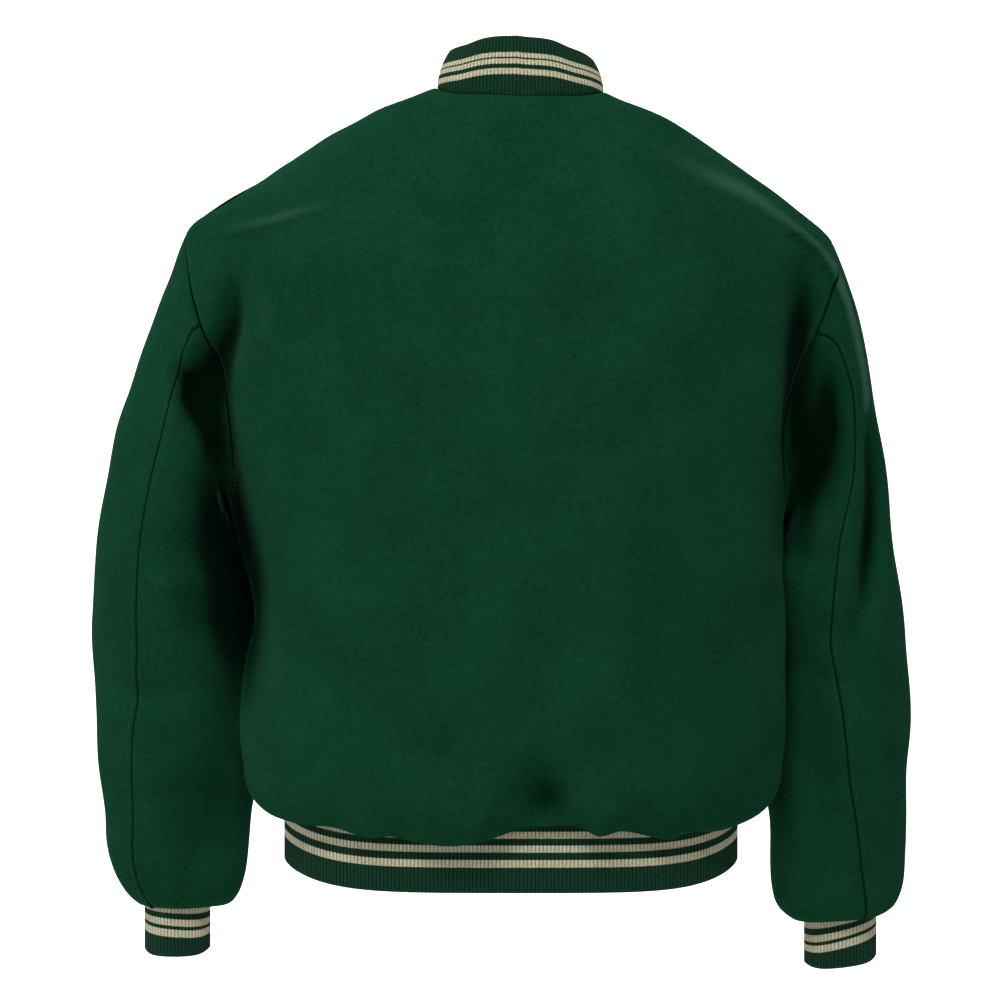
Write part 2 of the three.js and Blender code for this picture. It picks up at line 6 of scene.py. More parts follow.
import bpy
import numpy as np
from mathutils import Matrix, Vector


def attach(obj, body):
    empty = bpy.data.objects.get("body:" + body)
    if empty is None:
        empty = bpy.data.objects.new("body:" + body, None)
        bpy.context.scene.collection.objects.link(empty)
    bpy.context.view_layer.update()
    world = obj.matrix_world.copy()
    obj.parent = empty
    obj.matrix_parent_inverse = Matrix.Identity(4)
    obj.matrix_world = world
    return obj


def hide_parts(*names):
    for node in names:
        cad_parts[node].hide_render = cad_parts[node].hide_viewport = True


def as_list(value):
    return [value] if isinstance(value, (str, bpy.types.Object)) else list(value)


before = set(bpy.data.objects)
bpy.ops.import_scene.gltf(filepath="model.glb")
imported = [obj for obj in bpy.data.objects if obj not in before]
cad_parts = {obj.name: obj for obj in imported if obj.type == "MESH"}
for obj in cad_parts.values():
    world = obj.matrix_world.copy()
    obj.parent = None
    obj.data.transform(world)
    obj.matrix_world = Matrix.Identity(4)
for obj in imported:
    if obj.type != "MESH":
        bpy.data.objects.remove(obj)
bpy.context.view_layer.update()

MM = 0.001

# Camera: straight on to the back, level with the middle of the jacket
PHOTO_SIZE = 1000
CAMERA_AT = (18.0, 2400.0, -334.0)
MM_PER_PIXEL = 0.83
SENSOR = 36.0


def camera():
    lens = bpy.data.cameras.new("camera")
    lens.sensor_width = SENSOR
    lens.lens = SENSOR * CAMERA_AT[1] / MM_PER_PIXEL / PHOTO_SIZE
    piece = bpy.data.objects.new("camera", lens)
    bpy.context.scene.collection.objects.link(piece)
    piece.location = [place * MM for place in CAMERA_AT]
    piece.rotation_euler = (math.radians(90), 0, math.radians(180))
    bpy.context.scene.camera = piece


camera()

# Driving sizes of the cloth
WOOL_WALL = 2.2
RIB_WALL = 2.4
SEAM_GAP = 0.3
ARMHOLE_GAP = 0.3
WALE_PITCH = 3.1
WALE_RISE = 0.9
BAND_EASE = 0.5
SEAM_Y = -8.0
SQUARENESS = 2.4
WAIST_SQUARENESS = 3.0
FRONT_OVERLAP = 16.0
LAP_STEP = WOOL_WALL + 1
LAP_RUN = 18.0

NECK_ROW = -4.0
NECK_FADE = 150.0
NECK_DROP_BACK = 10.0
NECK_DROP_FRONT = 74.0
NECK_CURVE = 1.87

ARMHOLE_MIDDLE = 231.0
ARMHOLE_HALF_HEIGHT = 115.0
ARMHOLE_HALF_DEPTH = 68.0
ARMHOLE_FULLNESS = 0.65
SHOULDER_TILT = 0.017
SHOULDER_EASE = (-75, -50, -25, 0, 25, 50, 75)

HEM_START = 552.0
HEM_ROLL = 49.0
HEM_TURN = math.radians(108)
HEM_SIDE_RISE = 12.0
BAND_SIDE_RISE = 18.0
CUFF_SIDE_RISE = 4.0
CLEAR = WALE_RISE + SEAM_GAP + BAND_EASE
WAIST = {"left": 196.0, "right": 178.0, "back": 108.0, "front": 100.0, "top": 588.0, "bottom": 646.0}
COLLAR_PARTING = 0.6

SNAP_COUNT = 7
SNAP_FIRST = 86.0
SNAP_PITCH = 77.0


def table(names, *rows):
    """Rows of numbers under named columns"""
    names = names.split()
    return {name: np.array([row[i] for row in rows], float) for i, name in enumerate(names)}


# Torso sections: distance below the neck, half widths, depths, and the hollows where the arms hang
TORSO = table(
    "down left right back front left_hollow right_hollow",
    (-4, 70, 69, 56, 54, 0, 0),
    (0, 83, 78, 58, 55, 0, 0),
    (10, 110, 104, 63, 58, 0, 0),
    (25, 138, 133, 71, 63, 0, 0),
    (50, 179, 169, 85, 72, 0, 0),
    (75, 217, 206, 97, 82, 0, 0),
    (100, 256, 240, 107, 92, 0, 0),
    (116, 275, 256, 112, 97, 0, 0),
    (140, 284, 265, 117, 103, 0, 0),
    (170, 287, 267, 121, 108, 0, 0),
    (205, 280, 259, 125, 113, 0, 0),
    (240, 269, 245, 128, 116, 3, 2),
    (290, 259, 229, 131, 118, 11, 8),
    (346, 248, 223, 133, 119, 22, 17),
    (375, 239, 222, 134, 120, 15, 15),
    (400, 230, 222, 134, 120, 10, 18),
    (430, 226, 222, 135, 120, 13, 22),
    (470, 233, 222, 136, 120, 23, 23),
    (520, 237, 222, 136, 120, 27, 24),
    (552, 232, 219, 135, 119, 23, 21),
)
HOLLOW_Y = {"top": -10.0, "bottom": -34.0, "spread": 45.0}

# The right front's lap under the left: places across the front and the share of its step inward
LAP = table("x share", (-34, 0), (-25, 0.5), (-17.5, 1), (0, 1), (16, 1))

# Collar: height and inward lean, by the share of the way from the back to the front
COLLAR_RISE = table(
    "share height lean",
    (0, 49, 6), (0.12, 46, 9), (0.2, 39.5, 12), (0.3, 29, 10), (0.4, 25, 7), (0.6, 28, 8), (0.8, 34, 7), (1, 41, 4),
)

# Sleeves: outer and inner lines of the rings from armhole to cuff, half depth and middle
SLEEVES = {
    "left": table(
        "out_x out_down in_x in_down depth y",
        (277, 112, 226, 346, 68, -8), (284, 128, 234, 342, 71, -8), (291, 147, 238, 347, 72, -8),
        (302, 172, 236, 359, 71, -9), (313.5, 202, 233, 374, 69, -10), (325, 238, 229, 391, 67, -12),
        (337.5, 278, 224, 409, 66, -14), (347, 318, 220, 427, 65, -17), (353, 360, 217, 449, 64, -20),
        (358, 402, 215, 473, 63, -23), (360.5, 444, 214.5, 497, 62, -26), (358.5, 484, 216, 521, 61, -29),
        (357, 522, 219, 546, 60, -32), (355, 560, 223, 572, 58, -35), (351, 596, 227.5, 598, 56, -38),
        (349, 622, 230.5, 624, 52, -40), (343, 646, 234, 648, 47, -42), (334, 664, 240, 666, 40, -43),
        (324, 674, 249, 675, 33, -44),
    ),
    "right": table(
        "out_x out_down in_x in_down depth y",
        (257, 120, 206, 350, 68, -8), (264, 136, 212, 347, 71, -8), (270.5, 153, 216, 352, 72, -8),
        (278, 176, 217, 364, 71, -9), (285, 206, 215, 379, 69, -10), (292, 242, 212, 396, 67, -12),
        (300, 282, 209, 414, 66, -14), (306, 322, 207, 432, 65, -17), (311, 364, 205, 454, 64, -20),
        (315, 406, 204, 478, 63, -23), (321, 448, 203.5, 502, 62, -26), (325.5, 486, 204, 526, 61, -29),
        (326.5, 524, 204.5, 550, 60, -32), (324.5, 562, 206, 576, 58, -35), (324, 600, 208, 602, 56, -38),
        (323.5, 630, 208, 632, 52, -40), (322, 656, 210.5, 658, 47, -42), (315, 674, 216, 677, 40, -43),
        (304, 681, 228, 688, 33, -44),
    ),
}
CUFFS = {
    "left": {"x": 290.5, "y": -44, "width": 27.7, "depth": 28.5, "top": 666, "height": 50, "slope": 0},
    "right": {"x": 269.5, "y": -44, "width": 30.5, "depth": 28.5, "top": 675, "height": 50, "slope": 0.12},
}
BACK_SEAM = table(
    "ring left right",
    (0, 72, 72), (3, 69, 61), (5, 68.5, 58), (7, 66, 86), (9, 65, 98), (10, 68, 95), (12, 62, 89),
    (15, 56, 75), (19, 50, 55),
)
TURN_STEPS = 24
BACK_SEAM_STEP = 5
UNDER_SEAM_STEP = 14
LAST_RING = 19


def smooth(rows, along, name, at):
    """A smooth curve through one column of a table, at places along another column"""
    places, values = rows[along], rows[name]
    before = np.maximum(np.arange(len(places)) - 1, 0)
    after = np.minimum(np.arange(len(places)) + 1, len(places) - 1)
    slopes = (values[after] - values[before]) / (places[after] - places[before])
    at = np.asarray(at, float)
    i = np.searchsorted(places[1:-1], at)
    span = places[i + 1] - places[i]
    u = np.clip((at - places[i]) / span, 0, 1)
    return ((2 * u**3 - 3 * u**2 + 1) * values[i] + (u**3 - 2 * u**2 + u) * span * slopes[i]
            + (3 * u**2 - 2 * u**3) * values[i + 1] + (u**3 - u**2) * span * slopes[i + 1])


def mix(a, b, share):
    return a + (b - a) * share


def power(value, exponent):
    return np.sign(value) * np.abs(value) ** exponent


def step_up(value, low, high):
    """0 below low, 1 above high and a smooth rise between"""
    share = np.clip((value - low) / (high - low), 0, 1)
    return share * share * (3 - 2 * share)


def length(vectors):
    return np.sqrt((vectors * vectors).sum(-1))


def unit(vectors):
    return vectors / np.maximum(length(vectors), 1e-9)[..., None]


# Torso, the same form as the panels' solids

def section(down, curl):
    """The torso's section at a row: down is the distance below the neck, curl is 0 to 1 round the hem"""
    turn = curl * HEM_TURN
    share = (1 - np.cos(turn)) / (1 - math.cos(HEM_TURN))
    sizes = {"squareness": mix(SQUARENESS, WAIST_SQUARENESS, share)}
    for side in ("left", "right", "back", "front"):
        sizes[side] = mix(smooth(TORSO, "down", side, down), WAIST[side] + CLEAR, share)
    for side in ("left", "right"):
        eased = np.mean([smooth(TORSO, "down", side, down + step) for step in SHOULDER_EASE], axis=0)
        sizes[side + "_eased"] = mix(np.maximum(eased, WAIST[side]), WAIST[side] + CLEAR, share)
        sizes[side + "_hollow"] = smooth(TORSO, "down", side + "_hollow", down) * (1 - share)
    sizes["z"] = -(down + HEM_ROLL * np.sin(turn))
    return sizes


def neck_drop(angle):
    rise = np.sin(angle)
    front = NECK_DROP_FRONT * (1 - np.abs(np.cos(angle))) ** NECK_CURVE
    return np.where(rise > 0, NECK_DROP_BACK * rise * rise, front)


def neck_fade(down):
    return np.clip((NECK_FADE - down) / (NECK_FADE - NECK_ROW), 0, 1)


def plain_torso(angle, down, curl):
    """Points before the creases: angle 0 is the left side, a quarter turn is the back"""
    down = down + neck_drop(angle) * neck_fade(down)
    sizes = section(down, curl)
    c, s = np.cos(angle), np.sin(angle)
    left = c > 0
    y = power(s, 2 / sizes["squareness"]) * np.where(s > 0, sizes["back"], sizes["front"])
    low = np.clip((down - ARMHOLE_MIDDLE) / (HEM_START - ARMHOLE_MIDDLE), 0, 1)
    away = (y - mix(HOLLOW_Y["top"], HOLLOW_Y["bottom"], low)) / HOLLOW_Y["spread"]
    side_hollow = np.where(left, sizes["left_hollow"], sizes["right_hollow"])
    hollow = side_hollow * np.exp(-away * away) * np.minimum(1, 3 * np.abs(c))
    ease = step_up(np.abs(s), 0.25, 0.85) * step_up(down, 0, 60)
    width = mix(np.where(left, sizes["left"], sizes["right"]),
                np.where(left, sizes["left_eased"], sizes["right_eased"]), ease)
    x = power(c, 2 / sizes["squareness"]) * width - np.sign(c) * hollow
    tilt = SHOULDER_TILT * np.clip((HEM_START - down) / (HEM_START - 120), 0, 1)
    rise = HEM_SIDE_RISE * np.abs(c) ** 3 * np.sin(curl * HEM_TURN)
    return np.stack([x, y, sizes["z"] + rise + tilt * x], -1)


def torso_normal(angle, down, curl):
    around = plain_torso(angle + 0.004, down, curl) - plain_torso(angle - 0.004, down, curl)
    rolled = (curl > 0) | (down >= HEM_START)
    ahead = plain_torso(angle, down + np.where(rolled, 0, 0.5), np.minimum(curl + rolled * 0.008, 1))
    behind = plain_torso(angle, down, np.maximum(curl - rolled * 0.008, 0))
    return unit(np.cross(ahead - behind, around))


def angle_at_y(y, down, curl, side):
    sizes = section(down, curl)
    depth = np.where(y > 0, sizes["back"], sizes["front"])
    angle = np.arcsin(power(y / depth, sizes["squareness"] / 2))
    return angle if side == "left" else math.pi - angle


def front_angle(x, down, curl):
    sizes = section(down + NECK_DROP_FRONT * neck_fade(down), curl)
    width = np.where(x > 0, sizes["left"], sizes["right"])
    return -np.arccos(power(x / width, sizes["squareness"] / 2))


# Creases and evenness of the cloth

def crease(face, depth, spread, *path):
    """A soft trough, or a ridge where depth is negative, along a path of (x, z) on the back or front.
    spread is its half width, or a half width for each point of the path."""
    rows = {"at": np.arange(len(path), dtype=float),
            "x": np.array([x for x, _ in path], float), "z": np.array([z for _, z in path], float)}
    at = np.linspace(0, len(path) - 1, 60)
    taper = np.sin(math.pi * np.linspace(0, 1, 60)) ** 0.7
    spreads = np.interp(at, rows["at"], np.broadcast_to(np.array(spread, float), len(path)))
    return {"face": 1 if face == "back" else -1, "spread": spreads, "depth": depth * taper,
            "x": smooth(rows, "at", "x", at), "z": smooth(rows, "at", "z", at)}


CREASES = [
    # The pockets behind the armpits, deep and dark with painted shade, on the wearer's left and right
    crease("back", 44, (9, 11, 14, 19, 16, 9),
           (232, -153), (236, -193), (247, -222), (256, -248), (254, -273), (249, -305)),
    crease("back", 30, (7, 11, 9), (278, -226), (269, -246), (259, -268)),
    crease("back", -3, 11, (212, -152), (203, -190), (206, -225)),
    crease("back", 40, (9, 18, 24, 27, 22, 14),
           (248, -268), (243, -315), (240, -362), (236, -410), (232, -465), (232, -530)),
    crease("back", 38, (11, 15, 13, 10, 8), (-228, -140), (-230, -179), (-227, -212), (-223, -252), (-221, -300)),
    crease("back", 42, (8, 15, 22, 23, 17, 10),
           (-248, -208), (-248, -246), (-245, -277), (-237, -303), (-228, -338), (-221, -390)),
    crease("back", 32, (6, 9, 11, 9), (-285, -262), (-290, -325), (-287, -385), (-277, -450)),
    # The long ridge over the right shoulder and down the sleeve, light by its shape and by a painted highlight
    crease("back", -4, 12, (-95, -48), (-125, -60), (-160, -76), (-196, -96)),
    crease("back", -7, (9, 8, 6, 5, 5, 5, 6),
           (-150, -72), (-183, -88), (-215, -110), (-242, -133), (-266, -172), (-279, -236), (-277, -330)),
    crease("back", -7, 4.5, (-246, -136), (-266, -176), (-277, -228), (-279, -285), (-275, -350)),
    crease("back", 3, 8, (-204, -116), (-228, -134), (-248, -168)),
    # A faint ridge from the left armhole towards the neck
    crease("back", -5, 6, (258, -122), (215, -112), (180, -104), (142, -97)),
    # Long shallow waves down the middle of the back
    crease("back", 2.2, 30, (62, -120), (48, -210), (40, -330)),
    crease("back", -2.0, 26, (-70, -260), (-82, -380), (-78, -480)),
    crease("back", 2.0, 24, (-108, -300), (-118, -400), (-112, -500)),
    crease("back", -1.8, 30, (120, -280), (132, -390), (120, -500)),
    crease("back", 2.4, 20, (-150, -420), (-168, -500), (-160, -560)),
    # The dent above the waistband and the puckers beside it
    crease("back", 24, (16, 23, 20), (-12, -550), (-17, -572), (-19, -594)),
    crease("back", -3, 16, (28, -560), (34, -580), (40, -600)),
    crease("back", -3, 15, (-62, -556), (-66, -575), (-66, -596)),
    crease("back", 3.5, 11, (92, -578), (90, -590), (88, -603)),
    crease("back", 3.5, 10, (-98, -574), (-100, -587), (-102, -600)),
    crease("back", 3, 10, (150, -570), (147, -585), (144, -600)),
    crease("back", 3, 9, (-148, -566), (-150, -580), (-152, -595)),
    # Where the arms press into the lower sides
    crease("back", 4, 18, (214, -430), (206, -470), (208, -515)),
    crease("back", 3.5, 15, (-204, -400), (-200, -450), (-206, -500)),
    # Sleeve backs: the elbow's bend, the forearm's slight fold and the bunching over the cuffs
    crease("back", 6, 14, (236, -362), (262, -374), (292, -366)),
    crease("back", -4, 12, (250, -398), (280, -404), (312, -392)),
    crease("back", 5, 15, (232, -446), (256, -436), (282, -446)),
    crease("back", 4, 11, (262, -486), (300, -494), (338, -488)),
    crease("back", -3, 11, (256, -508), (296, -518), (334, -512)),
    crease("back", 3.5, 12, (250, -570), (282, -580), (316, -572)),
    crease("back", 15, (16, 26, 22), (246, -540), (254, -588), (262, -630)),
    crease("back", 13, (14, 22, 18), (-240, -500), (-246, -545), (-250, -600)),
    crease("back", 4, 8, (272, -634), (276, -650), (278, -668)),
    crease("back", 3.5, 8, (306, -640), (304, -654), (302, -668)),
    crease("back", 5, 13, (-214, -372), (-238, -384), (-262, -376)),
    crease("back", -3.5, 12, (-236, -420), (-262, -428), (-290, -418)),
    crease("back", 4, 12, (-226, -470), (-252, -482), (-280, -474)),
    crease("back", 3.5, 13, (-240, -556), (-268, -566), (-296, -556)),
    crease("back", 4, 8, (-246, -642), (-250, -656), (-252, -676)),
    crease("back", 3.5, 8, (-288, -640), (-286, -656), (-282, -672)),
    # The front, plainly: armpit folds, shallow waves beside the opening and puckers at the hem
    crease("front", 22, (9, 13, 10), (228, -160), (222, -215), (212, -300)),
    crease("front", 20, (8, 12, 10), (-210, -165), (-204, -220), (-196, -296)),
    crease("front", 12, (7, 12, 8), (258, -236), (250, -270), (238, -318)),
    crease("front", 12, (7, 12, 8), (-240, -230), (-234, -268), (-222, -320)),
    crease("front", -5, 16, (168, -110), (140, -180), (126, -270)),
    crease("front", -4, 15, (-160, -112), (-132, -186), (-120, -260)),
    crease("front", 4, 18, (92, -230), (100, -340), (86, -450)),
    crease("front", -3.5, 20, (-88, -250), (-102, -350), (-94, -450)),
    crease("front", 4, 18, (-142, -320), (-154, -430), (-140, -520)),
    crease("front", 3.5, 16, (160, -360), (168, -440), (158, -520)),
    crease("front", 4, 11, (128, -572), (124, -586), (120, -602)),
    crease("front", 4, 11, (62, -576), (64, -588), (66, -603)),
    crease("front", 4, 10, (-70, -574), (-68, -588), (-66, -602)),
    crease("front", 3.5, 11, (-134, -570), (-136, -584), (-140, -598)),
    crease("front", 6, 14, (236, -372), (262, -384), (296, -374)),
    crease("front", 5, 13, (246, -456), (276, -466), (312, -456)),
    crease("front", 6, 14, (-216, -380), (-240, -392), (-270, -382)),
    crease("front", 5, 13, (-226, -470), (-252, -482), (-286, -472)),
    crease("front", 4, 9, (280, -636), (282, -652), (284, -668)),
    crease("front", 4, 9, (-262, -642), (-264, -658), (-264, -674)),
]

# How far the hem hangs below its even line, across the back and the front
HEM_SAG = {
    "back": table(
        "x sag",
        (-215, 0), (-188, 2), (-160, 3), (-132, 0), (-116, 4), (-100, 0), (-77, -5), (-60, -1), (-45, -8),
        (-17, -9), (8, -5), (30, 2), (57, 6), (84, 4), (105, 0), (125, 2), (152, -3), (180, 0), (215, 0),
    ),
    "front": table(
        "x sag",
        (-215, 0), (-170, 3), (-136, -4), (-100, 3), (-68, -4), (-34, 3), (0, 3), (34, 2), (64, -4),
        (95, 4), (124, -4), (170, 3), (215, 0),
    ),
}

# The cloth moves in no further than this, and deeper creases only darken by painted shade in the wool's colour
DEEPEST_MOVE = 26

# Slight unevenness of steamed wool: waves of several lengths and directions
EVENNESS = 0.35
wave_rng = np.random.default_rng(7)
WAVE_COUNT = 14
WAVE_TURNS = wave_rng.normal(size=(WAVE_COUNT, 3))
WAVE_LENGTHS = wave_rng.uniform(38, 120, WAVE_COUNT)
WAVE_PHASES = wave_rng.uniform(0, 2 * math.pi, WAVE_COUNT)


def creased(points, normals, share):
    """Points moved by a share of the creases, mostly straight in, and of the slight unevenness.
    It gives the whole depth of the creases too, which the wool paints as shade in troughs and as a highlight on
    ridges."""
    depth, moving = np.zeros((2,) + points.shape[:-1])
    x, z = points[..., 0], points[..., 2]
    for fold in CREASES:
        # facing weights the depth that is painted as shade or highlight, turned weights the move of the cloth
        ridge = fold["depth"].min() < 0
        facing = step_up(normals[..., 1] * fold["face"], *((0.25, 0.6) if ridge else (-0.2, 0.1)))
        turned = step_up(normals[..., 1] * fold["face"], -0.05, 0.5)
        reach = 2.6 * fold["spread"].max()
        near = ((facing > 0) & (x > fold["x"].min() - reach) & (x < fold["x"].max() + reach)
                & (z > fold["z"].min() - reach) & (z < fold["z"].max() + reach))
        if not near.any():
            continue
        away = (x[near][:, None] - fold["x"]) ** 2 + (z[near][:, None] - fold["z"]) ** 2
        pull = np.exp(-away / fold["spread"] ** 2) * fold["depth"]
        strongest = np.abs(pull).argmax(1)
        pull = pull[np.arange(len(strongest)), strongest]
        depth[near] += facing[near] * pull
        moving[near] += turned[near] * pull
    straight = np.zeros(points.shape)
    straight[..., 1] = 2.5 * np.sign(normals[..., 1])
    waves = np.zeros(points.shape[:-1])
    for turn, wave, phase in zip(WAVE_TURNS, WAVE_LENGTHS, WAVE_PHASES):
        along = points @ (turn / np.linalg.norm(turn))
        waves += EVENNESS * np.sin(2 * math.pi * along / wave + phase)
    moving = DEEPEST_MOVE * np.tanh(moving / DEEPEST_MOVE)
    moves = unit(normals + straight) * moving[..., None] + normals * waves[..., None]
    return points - moves * share[..., None], depth


def creased_torso(angle, down, curl, inward=0.0):
    """Points of the torso's outer face with its creases, moved in by a depth, and the creases' depth"""
    angle, down, curl = np.broadcast_arrays(angle, down, curl)
    points = plain_torso(angle, down, curl)
    normals = torso_normal(angle, down, curl)
    rolling = np.sin(curl * HEM_TURN)
    sag = np.where(points[..., 1] > 0, smooth(HEM_SAG["back"], "x", "sag", points[..., 0]),
                   smooth(HEM_SAG["front"], "x", "sag", points[..., 0]))
    share = 1 - step_up(curl, 0.55, 0.95)
    moved, folds = creased(points, normals, share)
    moved[..., 2] -= sag * rolling * step_up(np.abs(points[..., 1]), 40, 75)
    return moved - normals * inward, folds * share


def torso(angle, down, curl, inward=0.0):
    return creased_torso(angle, down, curl, inward)[0]


# Grids of points and their meshes

EDGE_STEPS = np.array([0, 0.6, 1.3, 2.4, 4.2, 7.0])
TUCK_DEPTH = 0.8
TUCK_SPREAD = 1.2


def across(width, count):
    """Shares of the way across a panel, closer together at both of its sewn edges"""
    width = np.asarray(width, float)[..., None]
    first, last = EDGE_STEPS / width, 1 - EDGE_STEPS[::-1] / width
    middle = np.linspace(0, 1, count)[1:-1]
    return np.concatenate([first, mix(first[..., -1:], last[..., :1], middle), last], -1)


def arc_lengths(points, axis):
    steps = length(np.diff(points, axis=axis))
    start = np.zeros_like(np.take(steps, [0], axis=axis))
    return np.concatenate([start, np.cumsum(steps, axis=axis)], axis=axis)


def sewn_distance(points, sewn):
    """Distance over the cloth to the nearest sewn edge: first and last columns, top row"""
    over, down = arc_lengths(points, 1), arc_lengths(points, 0)
    distances = {"first": over, "last": over[:, -1:] - over, "top": down}
    return np.min([distances[edge] for edge in sewn], axis=0)


def grid_normals(points, mirror=1):
    return unit(np.cross(np.gradient(points, axis=0), np.gradient(points, axis=1))) * mirror


def grid_mesh(name, points, uvs, mirror=1, ring=False):
    """A mesh from a grid of points. uvs has one column more than the points of a ring."""
    rows, columns = uvs.shape[:2]
    corner_ids = np.arange(rows * columns).reshape(rows, columns)
    wrapped = np.concatenate([points, points[:, :1]], 1) if ring else points
    number = np.arange(points.shape[0] * points.shape[1]).reshape(points.shape[:2])
    if ring:
        number = np.concatenate([number, number[:, :1]], 1)
    quads = lambda ids: np.stack([ids[:-1, :-1], ids[1:, :-1], ids[1:, 1:], ids[:-1, 1:]], -1).reshape(-1, 4)
    faces, corners = quads(number), quads(corner_ids)
    if mirror < 0:
        faces, corners = faces[:, ::-1], corners[:, ::-1]
    mesh = bpy.data.meshes.new(name)
    mesh.from_pydata((points.reshape(-1, 3) * MM).tolist(), [], faces.tolist())
    layer = mesh.uv_layers.new(name="Cloth")
    layer.data.foreach_set("uv", uvs.reshape(-1, 2)[corners.reshape(-1)].ravel())
    return mesh


def cloth_area(points):
    """Square metres of a grid's surface"""
    a, b = points[1:, :-1] - points[:-1, :-1], points[:-1, 1:] - points[:-1, :-1]
    c, d = points[:-1, 1:] - points[1:, 1:], points[1:, :-1] - points[1:, 1:]
    return float((length(np.cross(a, b)) + length(np.cross(c, d))).sum() / 2) * MM * MM


def new_object(name, mesh):
    piece = bpy.data.objects.new(name, mesh)
    bpy.context.scene.collection.objects.link(piece)
    return piece


def choose(piece):
    bpy.ops.object.select_all(action="DESELECT")
    piece.select_set(True)
    bpy.context.view_layer.objects.active = piece


def apply_modifier(piece, name, kind, **settings):
    choose(piece)
    modifier = piece.modifiers.new(name, kind)
    for setting, value in settings.items():
        setattr(modifier, setting, value)
    bpy.ops.object.modifier_apply(modifier=name)


def soften(piece, degrees):
    choose(piece)
    bpy.ops.object.shade_smooth_by_angle(angle=math.radians(degrees))


def wool_panel(name, points, folds, sewn, rests_on, mirror=1):
    """A panel of wool cloth: sewn edges sink into their seams, and the wall lies inside the points"""
    distance = sewn_distance(points, sewn)
    sink = TUCK_DEPTH * np.exp(-(distance / TUCK_SPREAD) ** 2)
    points = points - grid_normals(points, mirror) * sink[..., None]
    # The u of the uvs is the distance to a sewn edge, which the wool uses to paint shade along the seams
    uvs = np.stack([distance, arc_lengths(points, 0)], -1) * MM
    mesh = grid_mesh(name, points, uvs, mirror)
    # Fold holds the creases' depth, which the wool paints as shade in troughs and as a highlight on ridges
    mesh.attributes.new("Fold", "FLOAT", "POINT").data.foreach_set("value", folds.ravel())
    panel = new_object(name + "_cloth", mesh)
    apply_modifier(panel, "wall", "SOLIDIFY", thickness=WOOL_WALL * MM, offset=-1)
    soften(panel, 60)
    panel.data.materials.append(wool)
    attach(panel, "root")
    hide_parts(name)
    wide = arc_lengths(points, 1)[:, -1].max() * MM
    tall = arc_lengths(points, 0)[-1].max() * MM
    round(cloth_area(points), 3)
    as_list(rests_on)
    return points


# Body panels

def armhole_reach(turn):
    """How far the armhole's oval reaches from its middle line, front or back"""
    return ARMHOLE_HALF_DEPTH * power(np.sin(turn), ARMHOLE_FULLNESS)


def body_rows():
    """Rows from the neck to the rolled hem, and how far each lies inside the armhole's oval"""
    share = np.linspace(0, 1, 64)
    turn = math.pi * (share + 0.05 * np.sin(2 * math.pi * share))
    armhole = ARMHOLE_MIDDLE - ARMHOLE_HALF_HEIGHT * np.cos(turn)
    shoulder = np.concatenate([NECK_ROW + EDGE_STEPS, np.linspace(8, armhole[0], 28)[:-1]])
    side = np.linspace(armhole[-1], HEM_START, 50)[1:]
    curl = np.linspace(0, 1, 24)[1:]
    down = np.concatenate([shoulder, armhole, side, np.full(len(curl), HEM_START)])
    curls = np.concatenate([np.zeros(len(down) - len(curl)), curl])
    reach = np.full(len(down), SEAM_GAP / 2)
    inside = slice(len(shoulder), len(shoulder) + len(armhole))
    reach[inside] = np.maximum(reach[inside], armhole_reach(turn))
    return down, curls, reach, inside


ROW_DOWN, ROW_CURL, ROW_REACH, ARMHOLE_ROWS = body_rows()


def side_edge(side, face):
    return angle_at_y(SEAM_Y + face * ROW_REACH, ROW_DOWN, ROW_CURL, side)


def body_points(start, end, count, width):
    """A panel's points between two angles at each row"""
    angle = mix(start[:, None], end[:, None], across(np.full(len(start), width), count))
    return creased_torso(angle, ROW_DOWN[:, None], ROW_CURL[:, None])


def front_line(x, inward=0.0):
    """One column down the front at a distance across it"""
    return torso(front_angle(x, ROW_DOWN, ROW_CURL), ROW_DOWN, ROW_CURL, inward)


def back_points():
    return body_points(side_edge("left", 1), side_edge("right", 1), 120, 560)


def front_left_points():
    return body_points(side_edge("left", -1), front_angle(-FRONT_OVERLAP, ROW_DOWN, ROW_CURL), 66, 280)


def front_right_points():
    start, end = side_edge("right", -1) - 2 * math.pi, front_angle(LAP["x"][0], ROW_DOWN, ROW_CURL)
    panel, folds = body_points(start, end, 60, 260)
    lap = [front_line(x, LAP_STEP * smooth(LAP, "x", "share", x)) for x in np.linspace(-34, FRONT_OVERLAP, 16)]
    points = np.concatenate([panel[:, :-5], np.stack(lap, 1)], 1)
    return points, np.concatenate([folds[:, :-5], np.zeros((len(folds), len(lap)))], 1)


# Sleeves

SLEEVE_FOLDS = {
    "left": table(
        "ring turn ring_spread turn_spread depth slant",
        (5.6, 118, 1.6, 26, 7, 0.8), (8.4, 150, 0.9, 40, 5, -0.6), (11.2, 62, 0.55, 46, 4, 0.5),
        (15.2, 96, 0.5, 34, 3, 0.4),
    ),
    "right": table(
        "ring turn ring_spread turn_spread depth slant",
        (6.2, 92, 1.8, 24, 8, 1.2), (8.8, 140, 0.9, 38, 5, 0.7), (10.9, 70, 0.6, 40, 3, -0.5),
        (9.6, 240, 0.8, 44, 3, -0.7), (12.5, 258, 0.7, 40, 2, 0.6), (15.4, 104, 0.5, 34, 3, -0.4),
    ),
}


def armhole_line(turn, side):
    down = ARMHOLE_MIDDLE - ARMHOLE_HALF_HEIGHT * np.cos(turn)
    angle = angle_at_y(SEAM_Y + armhole_reach(turn), down, 0.0 * down, side)
    return torso(angle, down, 0.0), torso_normal(angle, down, 0.0 * down)


